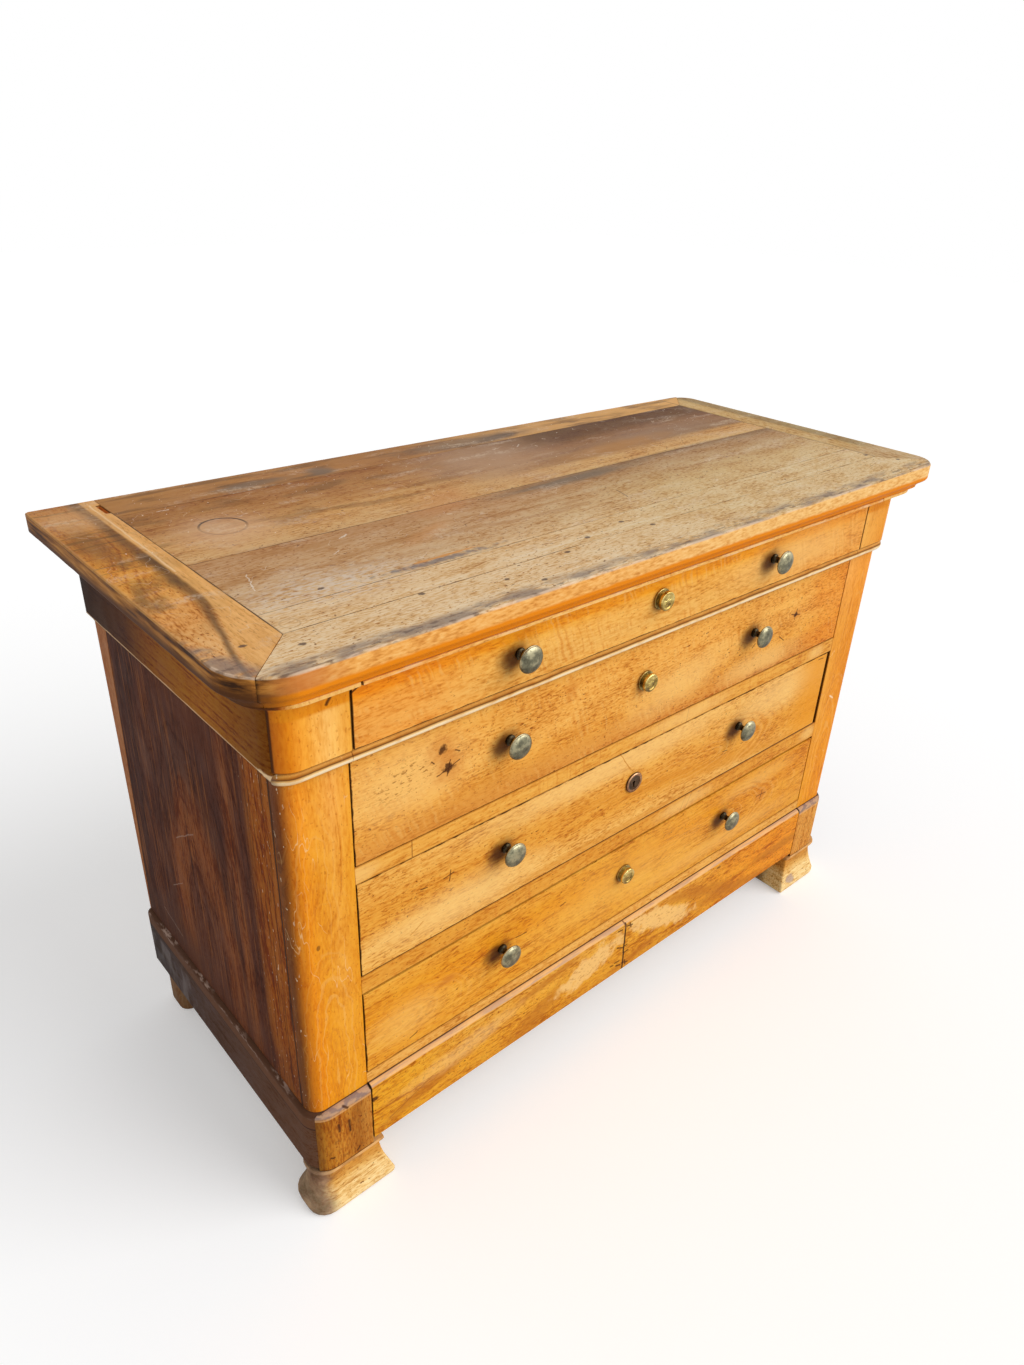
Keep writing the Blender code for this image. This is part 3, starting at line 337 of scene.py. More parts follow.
def top_paint(name, seed):
    """Worn walnut of the top: dark at the back, tan towards the front, the pale tan partly a painted sheen.
    """
    paint = Paint(name, seed)
    y = paint.y + paint.sway(0.03, (0.5, 0.06, 0.06), 2, 9)
    left = paint.bands(y, (
        (-0.29, (0.78, 0.56, 0.33)), (-0.16, (0.72, 0.48, 0.25)), (-0.12, (0.58, 0.36, 0.18)),
        (0, (0.46, 0.235, 0.095)), (0.01, (0.6, 0.34, 0.135)), (0.07, (0.58, 0.3, 0.095)),
        (0.12, (0.44, 0.2, 0.055)), (0.2, (0.34, 0.135, 0.028)), (0.26, (0.42, 0.19, 0.055)),
    ))
    right = paint.bands(y, (
        (-0.29, (0.72, 0.51, 0.27)), (-0.15, (0.66, 0.46, 0.23)), (-0.11, (0.6, 0.39, 0.17)),
        (-0.02, (0.43, 0.25, 0.115)), (0.004, (0.27, 0.15, 0.065)), (0.014, (0.62, 0.35, 0.125)),
        (0.05, (0.58, 0.31, 0.1)), (0.062, (0.3, 0.15, 0.055)), (0.12, (0.28, 0.12, 0.036)),
        (0.16, (0.135, 0.052, 0.012)), (0.205, (0.12, 0.048, 0.01)),
    ))
    side = (paint.x + paint.sway(0.3, 0.15, 2, 6)).rise(-0.22, 0.18)
    base = paint.blend(side, left, right)
    height = walnut(paint, "x", "y", base, 0.016, 0.55, 1.15, 1.15, 0.013, 0.9, 1)
    cloud = paint.noise((0.09, 0.03, 0.03), 4, 22).rise(0.5, 0.68)
    paint.lay(cloud * paint.y.rise(-0.02, 0.12) * paint.x.rise(0.1, -0.2), (0.17, 0.07, 0.015), 0.6)
    return paint, height


def nosing_paint(paint):
    """The moulded edge: orange wood on the front and right, dark on the left."""
    below = paint.z.rise(TOP - 0.0012, TOP - 0.003)
    grain = paint.noise((0.01, 0.01, 0.003), 4, 8)
    face = paint.ramp(
        grain, ((0.28, (0.6, 0.22, 0.035)), (0.5, (0.84, 0.39, 0.09)), (0.75, (0.94, 0.54, 0.18))),
    )
    light = paint.ramp(
        grain, ((0.28, (0.7, 0.31, 0.07)), (0.5, (0.88, 0.5, 0.16)), (0.75, (0.95, 0.62, 0.26))),
    )
    face = paint.blend(paint.x.rise(-0.25, 0.15), face, light)
    ruddy = (paint.x + paint.sway(0.04, 0.03, 3, 5)).rise(-0.5, -0.56)
    face = paint.blend(ruddy * 0.8, face, (0.56, 0.17, 0.035))
    # Deeper orange in the undercut below the nosing, painted shade.
    under = (paint.z + paint.sway(0.004, 0.03)).rise(TOP - 0.0175, TOP - 0.0215)
    face = paint.blend(under, face, (0.8, 0.24, 0.006))
    shade = (paint.x + paint.sway(0.02, 0.02, 3)).rise(-0.56, -0.608)
    dark = paint.ramp(paint.noise((0.02, 0.07, 0.006), 4, 8), (
        (0.34, (0.05, 0.02, 0.008)), (0.46, (0.22, 0.08, 0.015)), (0.58, (0.42, 0.17, 0.03)),
        (0.72, (0.62, 0.3, 0.07)),
    ))
    dark = paint.blend(paint.z.rise(TOP - 0.012, TOP - 0.022), dark, (0.1, 0.035, 0.01))
    paint.lay(below, paint.blend(shade, face, dark))


def worn_rim(paint, distance):
    """A greyish band rubbed along the edge, and the bare wood right on it."""
    rough = paint.sway(0.022, (0.06, 0.012, 0.012), 3, 8.5)
    band = (distance + rough).rise(0.032, 0.01)
    patch = paint.noise((0.05, 0.02, 0.02), 4, 2.5).rise(0.34, 0.62)
    paint.lay(band * patch, (0.25, 0.185, 0.15), 0.8)
    paint.lay(band * paint.noise((0.016, 0.006, 0.006), 3, 6.6).rise(0.54, 0.66), (0.12, 0.075, 0.055), 0.6)
    edge = (distance + rough * 0.2).rise(0.004, 0.0014)
    broken = paint.noise((0.03, 0.012, 0.012), 3, 3.6).rise(0.4, 0.54)
    paint.lay(edge * broken, (0.86, 0.64, 0.46), 0.5)


def top_scratches(paint):
    """Joint lines, pale scratches, a painted whitish sheen and nail holes over the whole top."""
    joints = [
        paint.stroke("xy", (FIELD_LEFT, y), (FIELD_RIGHT, y), width, 0.0007, 0.03)
        for y, width in zip(BOARD_JOINTS, (0.001, 0.0012, 0.002, 0.0014))
    ]
    for x in (FIELD_LEFT, FIELD_RIGHT):
        joints.append(paint.stroke("xy", (x, BOARD_JOINTS[0]), (x, 0.26), 0.002, 0.0006, 0.03))
    fade = paint.noise((0.09, 0.09, 0.09), 2, 20).rise(0.36, 0.56) * 0.6 + 0.2
    paint.lay(most(*joints) * fade, (0.085, 0.04, 0.018))
    # Painted sheen: whitish patches of reflected light over the grain.
    sheen = paint.noise((0.1, 0.03, 0.05), 5, 12).rise(0.53, 0.74)
    grains = paint.noise(0.0045, 2, 16).rise(0.42, 0.58)
    paint.lay(sheen * (grains * 0.8 + 0.2), (0.72, 0.57, 0.42), 0.4)
    speck = paint.noise(0.0042, 1, 13).rise(0.755, 0.8)
    paint.lay(speck * paint.y.rise(-0.08, 0.12), (0.86, 0.76, 0.62), 0.8)
    scuff = abs(paint.noise((0.05, 0.05, 0.05), 2, 14) - 0.5).rise(0.006, 0.001)
    paint.lay(scuff * paint.noise(0.06, 2, 15).rise(0.54, 0.62), (0.8, 0.66, 0.5), 0.35)
    scratches = (
        ((-0.51, -0.1), (-0.496, -0.055), 0.0013), ((-0.352, -0.02), (-0.338, -0.012), 0.0024),
        ((-0.385, -0.06), (-0.374, -0.053), 0.0014), ((0.1, 0.165), (0.112, 0.176), 0.0013),
        ((-0.49, 0.199), (-0.475, 0.198), 0.002),
    )
    paint.marks("xy", [(*scratch, 0.003, 0.006) for scratch in scratches], (0.86, 0.78, 0.66), 0.5)
    nails = (
        (-0.533, -0.241), (-0.581, -0.21), (-0.37, -0.213), (0.55, -0.197), (-0.1, -0.197),
        (-0.022, -0.182), (-0.27, -0.238), (-0.235, -0.264), (0.005, -0.213), (-0.155, -0.218),
        (-0.45, -0.137), (0.574, -0.241),
    )
    holes = [(place, (0.0044, 0.0028)) for place in nails]
    paint.dabs("xy", holes, (0.1, 0.06, 0.045), 0.85, ragged=0.7, size=0.005)


def ring_mark(paint, centre, radius, width, start, end, colour, strength):
    """A round stain, stronger over part of the circle."""
    u, v = paint.x - centre[0], paint.y - centre[1]
    circle = abs(paint.length(u, v) - radius)
    arc = (v + u * 0.3).rise(start, end)
    paint.lay(circle.rise(width, width * 0.3) * (arc * 0.75 + 0.25), colour, strength)


def field_material(name, seed):
    paint, height = top_paint(name, seed)
    paint.dab("xy", (0.02, 0.14), (0.11, 0.085), (0.46, 0.28, 0.165), 0.65, soft=1.7, ragged=0.4, size=0.05)
    paint.dab("xy", (0.36, 0.095), (0.17, 0.038), (0.3, 0.175, 0.1), 0.7, turn=3, soft=1.4, size=0.04)
    paint.dab("xy", (0.23, 0.075), (0.12, 0.022), (0.42, 0.19, 0.05), 0.8, turn=4, soft=1.4, size=0.03)
    paint.dab("xy", (-0.45, 0.085), (0.055, 0.05), (0.64, 0.38, 0.21), 0.6, soft=1.5, size=0.03)
    ring_mark(paint, (-0.446, 0.102), 0.0295, 0.0024, -0.01, 0.02, (0.06, 0.03, 0.018), 0.95)
    paint.dab("xy", (0.05, -0.01), (0.12, 0.014), (0.15, 0.105, 0.07), 0.75, soft=1.4, size=0.03)
    grains = paint.noise((0.012, 0.004, 0.004), 3, 16.5).rise(0.4, 0.6)
    # A painted sheen: a whitish patch of reflected light near the front left.
    sheen = paint.spot("xy", (-0.44, -0.135), (0.1, 0.042), soft=1.5, size=0.025)
    paint.lay(sheen * grains, (0.68, 0.58, 0.48), 0.6)
    brown = paint.noise((0.11, 0.014, 0.02), 4, 27).rise(0.5, 0.62) * paint.x.rise(0.25, -0.05)
    paint.lay(brown * abs(paint.y + 0.055).rise(0.075, 0.035), (0.4, 0.185, 0.055), 0.55)
    paint.dab("xy", (-0.295, -0.147), (0.062, 0.0056), (0.12, 0.12, 0.14), 0.7,
              turn=-1, soft=1.3, ragged=1.5, size=0.009)
    paint.dab("xy", (-0.285, -0.139), (0.045, 0.0026), (0.62, 0.25, 0.05), 0.8, turn=1, ragged=0.9)
    paint.dab("xy", (-0.16, 0.02), (0.055, 0.03), (0.54, 0.21, 0.06), 0.45, turn=30, soft=1.5, size=0.03)
    paint.dab("xy", (-0.25, -0.065), (0.05, 0.012), (0.56, 0.25, 0.08), 0.45, turn=25, soft=1.4)
    ring_mark(paint, (-0.52, -0.193), 0.0105, 0.0016, 0.2, 0.3, (0.24, 0.12, 0.04), 1)
    paint.marks("xy", [((0.062, -0.115), (0.07, -0.085), 0.0018, 0.004, 0.02)], (0.12, 0.07, 0.04), 0.8)
    top_scratches(paint)
    return paint.finish(0.5, height, 0.1, specular=0.07)


def front_rail_material():
    paint, height = top_paint("top_front_rail", 11)
    top_scratches(paint)
    worn_rim(paint, paint.y + TOP_REACH)
    nosing_paint(paint)
    return paint.finish(0.5, height, 0.1)


def back_rail_material():
    paint, height = top_paint("top_back_rail", 17)
    warm = paint.bands(paint.x, (
        (-0.55, (0.4, 0.175, 0.04)), (-0.1, (0.38, 0.16, 0.04)), (0.1, (0.66, 0.34, 0.11)),
        (0.55, (0.84, 0.44, 0.13)),
    ))
    paint.lay(paint.noise((0.12, 0.03, 0.03), 3, 2).rise(0.25, 0.5), warm, 0.8)
    dusk = paint.noise((0.1, 0.02, 0.02), 4, 25).rise(0.5, 0.64)
    paint.lay(dusk * paint.x.rise(0.2, -0.15), (0.13, 0.055, 0.015), 0.6)
    for place, radii in (
        ((-0.34, 0.232), (0.05, 0.012)), ((-0.23, 0.23), (0.02, 0.02)), ((0.05, 0.235), (0.12, 0.02)),
    ):
        paint.dab("xy", place, radii, (0.17, 0.115, 0.075), 0.7, soft=1.3, size=0.02)
    top_scratches(paint)
    paint.lay(paint.z.rise(TOP - 0.001, TOP - 0.004), (0.22, 0.12, 0.05), 0.9)
    return paint.finish(0.5, height, 0.1, specular=0.07)


def left_end_material():
    """End piece with crosswise grain behind and lengthwise flames in front, and a light strip inside."""
    paint = Paint("top_left_end", 23)
    base = paint.bands(paint.y, (
        (-0.29, (0.7, 0.38, 0.16)), (-0.2, (0.72, 0.36, 0.12)), (-0.12, (0.7, 0.32, 0.085)),
        (0, (0.68, 0.29, 0.045)), (0.09, (0.6, 0.22, 0.024)), (0.15, (0.55, 0.21, 0.032)),
        (0.22, (0.54, 0.21, 0.036)), (0.28, (0.46, 0.18, 0.04)),
    ))
    height = walnut(paint, "y", "x", base, 0.016, 0.6, 1.2, 1.3, 0.01, 0.8, 0.9, (
        ("xy", (-0.6, -0.1), (0.05, 0.12), 0.05),
    ))
    behind = paint.y.rise(-0.02, 0.05)
    across = paint.lines((paint.y + paint.sway(0.02, (0.08, 0.03, 0.03))) / 0.01, 3)
    paint.lay(behind * across.rise(0.46, 0.3), (0.2, 0.085, 0.015), 0.7)
    cloud = paint.noise((0.03, 0.05, 0.03), 3, 21).rise(0.44, 0.74)
    paint.lay(cloud * abs(paint.y + 0.02).rise(0.18, 0.06), (0.13, 0.065, 0.018), 0.7)
    paint.dab("xy", (-0.6, 0.13), (0.022, 0.06), (0.2, 0.085, 0.02), 0.7, soft=1.4, size=0.02)
    lean = paint.y.rise(-0.06, -0.27) * 0.04
    bend = paint.x - paint.sway(0.02, (0.2, 0.12, 0.2), 2, 3)
    width = paint.y.rise(-0.2, -0.02) * 0.006 + 0.003
    wave = (abs(bend + 0.564 + lean) / width).rise(2, 0)
    paint.lay(wave, (0.085, 0.04, 0.016), 0.75)
    strip = (paint.x + lean * 0.9).rise(-0.56, -0.556)
    pale = paint.ramp(
        paint.noise((0.004, 0.09, 0.02), 4), ((0.3, (0.66, 0.32, 0.08)), (0.7, (0.9, 0.5, 0.18))),
    )
    paint.lay(strip, pale, 0.75)
    grain = paint.noise((0.0022, 0.012, 0.01), 3, 4.4).rise(0.56, 0.68)
    paint.lay(strip * grain, (0.36, 0.15, 0.03), 0.5)
    paint.marks("xy", [((-0.5545, 0), (-0.55, 0.27), 0.0024, 0.0016)], (0.84, 0.58, 0.32), 0.7)
    paint.dab(
        "xy", (-0.59, 0.225), (0.035, 0.045), (0.6, 0.36, 0.17), 0.5, soft=1.5, size=0.008, ragged=0.8,
    )
    top_scratches(paint)
    # Painted shade inside the notch at the back.
    notch = paint.z.rise(TOP - 0.0006, TOP - 0.0014) * paint.y.rise(0.22, 0.226)
    paint.lay(notch * paint.x.rise(-0.55, -0.546), SHADE_AND_DIRT)
    sideways, forwards = (combine("MINIMUM", value, 0) for value in (paint.x + 0.56, paint.y + 0.2255))
    behind_corner = paint.y.rise(-0.245, -0.1)
    worn_rim(paint, 0.065 - paint.length(sideways, forwards) + behind_corner * 0.04)
    side_rim = (paint.x + 0.625).rise(0.005, 0.001) * behind_corner
    paint.lay(side_rim, (0.55, 0.28, 0.09), 0.6)
    nosing_paint(paint)
    cracks = (
        ((-0.563, 0.8545), (-0.551, 0.854), 0.0024), ((-0.59, 0.857), (-0.58, 0.8535), 0.002),
        ((-0.548, 0.847), (-0.536, 0.85), 0.0018),
    )
    chips = (((-0.572, 0.856), (-0.57, 0.8495), 0.0024), ((-0.565, 0.841), (-0.556, 0.8425), 0.0022))
    for rows, colour, strength in ((cracks, SCORCH, 0.8), (chips, (0.86, 0.6, 0.4), 0.9)):
        strokes = [paint.stroke("xz", *row, 0.002, 0.006) for row in rows]
        paint.lay(most(*strokes) * paint.y.rise(-0.24, -0.26), colour, strength)
    return paint.finish(0.5, height, 0.1)


def right_end_material():
    paint = Paint("top_right_end", 31)
    base = paint.bands(paint.x, (
        (0.54, (0.46, 0.28, 0.095)), (0.556, (0.44, 0.26, 0.085)), (0.562, (0.6, 0.38, 0.15)),
        (0.588, (0.56, 0.35, 0.13)), (0.6, (0.33, 0.215, 0.085)), (0.622, (0.42, 0.29, 0.13)),
    ))
    # Tan towards the front, partly a painted sheen.
    base = paint.blend(paint.y.rise(-0.13, -0.2), base, (0.56, 0.37, 0.18))
    height = walnut(paint, "y", "x", base, 0.006, 0.5, 1, 1.3, 0.008, 0.7, 0.8)
    top_scratches(paint)
    front = paint.y.rise(-0.235, -0.245)
    worn_rim(paint, (paint.y + TOP_REACH) * front + (1 - front) * 0.1)
    nosing_paint(paint)
    return paint.finish(0.5, height, 0.1)


# The front

def gap_shade(paint, face):
    """Painted shade, nearly black, on whatever lies just behind a face, inside the gaps."""
    behind = paint.y.rise(face + 0.0007, face + 0.0022)
    paint.lay(behind * paint.y.rise(face + 0.015, face + 0.011), SHADE_AND_DIRT, 0.92)


def flank_shade(paint, start, end):
    """Painted shade on the flank beside the drawers, from a start to an end behind the face."""
    paint.lay(abs(paint.x).rise(0.4925, 0.4915) * paint.y.rise(start, end), SHADE_AND_DIRT, 0.9)


def ledge_shade(paint):
    """Painted shade on the ledge over the plinth, under the body."""
    paint.lay(paint.y.rise(-0.2434, -0.2422) * paint.z.rise(0.19, 0.192), SHADE_AND_DIRT, 0.85)


def dark_edge(paint, face, left, right, bottom, top, width=0.0013):
    """A thin uneven dark line round a drawer front, and dark on its edges: painted shade of the gap round
    it.
    """
    outside = most(left - paint.x, paint.x - right, bottom - paint.z, paint.z - top)
    outside = most(outside, left + 0.0009 - paint.x)
    rough = paint.sway(2.4 * width, 0.016, 3, 11)
    line = (outside + rough).rise(-width, -0.3 * width)
    paint.lay(line * paint.y.rise(face + 0.015, face + 0.011), SHADE_AND_DIRT, 0.85)


def fitting_shadow_and_dirt(paint, number):
    """Painted shadows cast to the left of the knobs, with dark polish and dirt gathered round a drawer's
    fittings.
    """
    knob_z, boss_z = KNOB_HEIGHTS[number - 1] - 0.003, BOSS_HEIGHTS[number - 1] - 0.001
    places = [(FITTING_SHIFT + side * KNOB_OFFSET - 0.009, knob_z) for side in (-1, 1)]
    rows = [(place, (0.0205, 0.0155)) for place in places]
    paint.dabs("xz", rows, (0.1, 0.026, 0.005), 0.9, soft=1.2, ragged=0.3)
    centre = (FITTING_SHIFT - 0.001, boss_z)
    paint.dab("xz", centre, (0.0165, 0.0165), (0.22, 0.065, 0.012), 0.65, soft=0.4, ragged=0.15)


def ripple(paint, strength):
    """Short cross ripples that catch the light in figured wood."""
    slant = paint.noise((0.015, 0.05, 0.02), 3, 15)
    wave = paint.lines((paint.x + paint.z * 0.35) / 0.006 + slant * 2, 1)
    patch = paint.noise((0.09, 0.05, 0.022), 2, 3).rise(0.44, 0.62)
    paint.lay(wave.rise(0.5, 0.74) * patch, RUSSET, strength)
    paint.lay(wave.rise(0.5, 0.3) * patch, PALE_HONEY, strength)


def curls(paint, centre, stretch, radii, spacing, strength, upright=False):
    """Nested arcs of flamed wood over a place on the front, open below or to the left."""
    sway = paint.sway(spacing * 5, (0.05, 0.05, 0.05), 3, 17)
    u, v = paint.x - centre[0], (paint.z - centre[1]) * stretch
    if upright:
        v = most(v, 0)
    else:
        u = most(u, 0) * 0.6
    reach = paint.length(u, v) + sway
    rings = paint.lines(reach / spacing, 1)
    patch = paint.spot("xz", centre, radii, soft=1.3, ragged=0.3, size=0.03)
    paint.lay(rings.rise(0.53, 0.68) * patch, RUSSET, strength)
    paint.lay(rings.rise(0.46, 0.34) * patch, PALE_HONEY, strength)


def bead_light_and_shade(paint, mask):
    """The worn bead: orange below, rubbed cream in the middle that is partly a painted highlight, and a
    painted shadow line below and above it.
    """
    rough = paint.sway(0.003, (0.05, 0.03, 0.02), 3, 12)
    colour = paint.bands(paint.z + rough, (
        (0.708, (0.04, 0.012, 0.004)), (0.7103, (0.1, 0.03, 0.006)), (0.7116, (0.78, 0.45, 0.16)),
        (0.713, (0.96, 0.78, 0.52)), (0.7164, (0.96, 0.76, 0.47)), (0.7182, (0.8, 0.46, 0.15)),
        (0.7196, (0.14, 0.045, 0.008)), (0.7212, (0.46, 0.17, 0.02)), (0.723, (0.84, 0.4, 0.08)),
        (0.727, (0.84, 0.4, 0.08)),
    ))
    patch = paint.noise((0.02, 0.02, 0.012), 4, 4).rise(0.46, 0.68)
    colour = paint.blend(patch * 0.6, colour, (0.82, 0.62, 0.38), "MULTIPLY")
    paint.lay(mask, colour)


def drawer_1_material():
    paint = Paint("drawer_1", 41)
    # Over the moulded top, the deep orange band on the cove is partly painted shade and the pale band on
    # the fillet above it partly a painted highlight.
    base = paint.bands(paint.z + paint.sway(0.005, (0.41, 0.11, 0.029)), (
        (0.727, (0.84, 0.41, 0.0798)), (0.745, (0.82, 0.43, 0.0986)), (0.775, (0.87, 0.44, 0.087)),
        (0.785, (0.87, 0.4, 0.0508)), (0.7895, (0.89, 0.34, 0.0174)), (0.8015, (0.91, 0.34, 0.0145)),
        (0.8065, (0.87, 0.39, 0.0435)), (0.8095, (0.93, 0.67, 0.29)), (0.813, (0.93, 0.57, 0.2)),
        (0.8204, (0.89, 0.51, 0.14)),
    ))
    red = (paint.x + paint.sway(0.12, (0.08, 0.02, 0.02), 2, 4)).rise(0.16, 0.4)
    base = paint.blend(red * 0.55, base, (0.84, 0.32, 0.045))
    base = paint.tint(paint.x.rise(-0.28, -0.42), base, (1, 0.84, 0.7))
    height = walnut(paint, "x", "z", base, 0.01, 0.35, 0.8, 0.9, 0.012, 0.5, 0.4)
    ripple(paint, 0.45)
    paint.dab("xz", (0.3, 0.765), (0.12, 0.025), (0.9, 0.53, 0.17), 0.55, soft=1.7, size=0.03)
    hook = (
        ((-0.49, 0.797), (-0.478, 0.8045), 0.0026, 0.001),
        ((-0.478, 0.8045), (-0.4775, 0.811), 0.0024, 0.001),
    )
    paint.marks("xz", hook, SHADE_AND_DIRT, 0.9)
    worn = paint.noise((0.05, 0.02, 0.01), 3, 6).rise(0.52, 0.66) * paint.z.rise(0.811, 0.8145)
    paint.lay(worn, (0.86, 0.6, 0.36), 0.6)
    fitting_shadow_and_dirt(paint, 1)
    dark_edge(paint, -0.262, -DRAWER_HALF, DRAWER_HALF, 0.7278, 0.9)
    return paint.finish(0.42, height)


def drawer_2_material():
    paint = Paint("drawer_2", 47)
    z = paint.z - paint.x * 0.01 + paint.sway(0.022, (0.3, 0.1, 0.03))
    base = paint.bands(z, (
        (0.56, (0.69, 0.27, 0.0468)), (0.588, (0.73, 0.3, 0.0468)), (0.603, (0.8, 0.35, 0.0507)),
        (0.64, (0.84, 0.4, 0.078)), (0.68, (0.84, 0.39, 0.0718)), (0.707, (0.81, 0.36, 0.0585)),
    ))
    red = (paint.x + paint.sway(0.16, 0.05, 2, 4)).rise(0.34, 0.48)
    base = paint.blend(red * 0.85, base, (0.8, 0.27, 0.022))
    height = walnut(paint, "x", "z", base, 0.012, 0.3, 1.15, 1.25, 0.013, 0.75, 1)
    paint.dab("xz", (-0.3, 0.578), (0.24, 0.02), (0.7, 0.29, 0.045), 0.5, turn=1, soft=1.3, size=0.03)
    ripple(paint, 0.32)
    paint.dabs("xz", (
        ((-0.41, 0.65), (0.075, 0.045)), ((0.07, 0.612), (0.09, 0.028), 8), ((0.27, 0.585), (0.08, 0.018)),
    ), (0.92, 0.55, 0.17), 0.6, soft=1.5, size=0.02)
    dots = paint.noise(0.0036, 1, 21).rise(0.7, 0.755)
    paint.lay(dots, (0.34, 0.11, 0.012), 0.7)
    dashes = paint.noise((0.007, 0.01, 0.003), 2, 18).rise(0.57, 0.66)
    paint.lay(
        dashes * paint.spot("xz", (-0.405, 0.655), (0.055, 0.02), 12, soft=1.3), (0.34, 0.13, 0.02), 0.8,
    )
    knot(paint, (-0.364, 0.6725), 0.0056)
    knot(paint, (-0.355, 0.643), 0.0066)
    knot(paint, (0.352, 0.6445), 0.0036)
    paint.dab("xz", (-0.155, 0.68), (0.01, 0.014), RUSSET, 0.45, soft=1.3)
    nicks(paint, (
        ((-0.372, 0.637), (-0.338, 0.648)), ((-0.357, 0.632), (-0.352, 0.653)),
        ((0.34, 0.647), (0.364, 0.641)), ((0.351, 0.635), (0.354, 0.653)), ((0.315, 0.615), (0.33, 0.604)),
        ((0.236, 0.653), (0.24, 0.649)), ((0.243, 0.617), (0.25, 0.622)), ((-0.345, 0.664), (-0.338, 0.66)),
        ((-0.38, 0.661), (-0.376, 0.657)),
    ))
    fitting_shadow_and_dirt(paint, 2)
    dark_edge(paint, BODY_FACE, -DRAWER_HALF, DRAWER_HALF, 0.5614, 0.7072)
    return paint.finish(0.44, height)


def drawer_3_material():
    paint = Paint("drawer_3", 53)
    z = paint.z + paint.x * 0.045 + paint.sway(0.024, (0.3, 0.1, 0.03))
    base = paint.bands(z, (
        (0.37, (0.83, 0.42, 0.0864)), (0.405, (0.84, 0.44, 0.1)), (0.435, (0.77, 0.33, 0.0396)),
        (0.468, (0.76, 0.32, 0.0396)), (0.495, (0.81, 0.39, 0.072)), (0.54, (0.83, 0.42, 0.0936)),
    ))
    height = walnut(paint, "x", "z", base, 0.022, 0.5, 1.1, 1.25, 0.012, 0.75, 0.9, (
        ("xz", (0.26, 0.462), (0.15, 0.05), 0.034), ("xz", (-0.3, 0.45), (0.1, 0.03), 0.012),
    ))
    paint.dab("xz", (0.2, 0.42), (0.28, 0.012), (0.7, 0.27, 0.022), 0.65,
              turn=-9, soft=1.2, ragged=0.6, size=0.03)
    paint.dab("xz", (-0.04, 0.395), (0.26, 0.007), (0.68, 0.27, 0.03), 0.55, turn=-1, soft=1.2, size=0.02)
    paint.dabs("xz", (
        ((-0.33, 0.425), (0.12, 0.028)), ((-0.05, 0.52), (0.22, 0.02)), ((0.36, 0.5), (0.12, 0.03)),
    ), (0.93, 0.58, 0.2), 0.6, soft=1.5, size=0.03)
    curls(paint, (0.16, 0.445), 1.7, (0.24, 0.06), 0.0064, 0.34)
    paint.lay(paint.x.rise(0.36, 0.46), (0.8, 0.3, 0.012), 0.75)
    speckle = paint.noise((0.006, 0.01, 0.0028), 2, 18).rise(0.56, 0.68)
    paint.lay(speckle * paint.spot("xz", (-0.4, 0.475), (0.055, 0.032), soft=1.2), (0.4, 0.12, 0.012), 0.7)
    nicks(paint, (
        ((-0.362, 0.476), (-0.346, 0.479)), ((-0.353, 0.468), (-0.351, 0.485)),
        ((-0.398, 0.478), (-0.388, 0.476)), ((0.21, 0.437), (0.222, 0.435)),
        ((0.455, 0.528), (0.47, 0.527)),
    ))
    paint.marks("xz", (
        ((-0.046, 0.538), (-0.018, 0.497), 0.0014, 0.002), ((-0.035, 0.52), (-0.012, 0.492), 0.001, 0.001),
        ((-0.415, 0.412), (-0.395, 0.424), 0.0012, 0.002),
    ), (0.55, 0.2, 0.02), 0.8)
    fitting_shadow_and_dirt(paint, 3)
    # Painted shade in the keyhole behind the plate.
    paint.dab("xz", (FITTING_SHIFT, 0.4715), (0.0055, 0.0075), SHADE_AND_DIRT, 1, soft=0.3, ragged=0)
    # Painted shadow in the gap along the drawer's lower edge.
    paint.lay((paint.z + paint.x * -0.0016).rise(0.3905, 0.3893), SHADE_AND_DIRT, 0.85)
    dark_edge(paint, BODY_FACE, -DRAWER_HALF, 0.4896, 0.3886, 0.5342, 0.0015)
    return paint.finish(0.44, height)


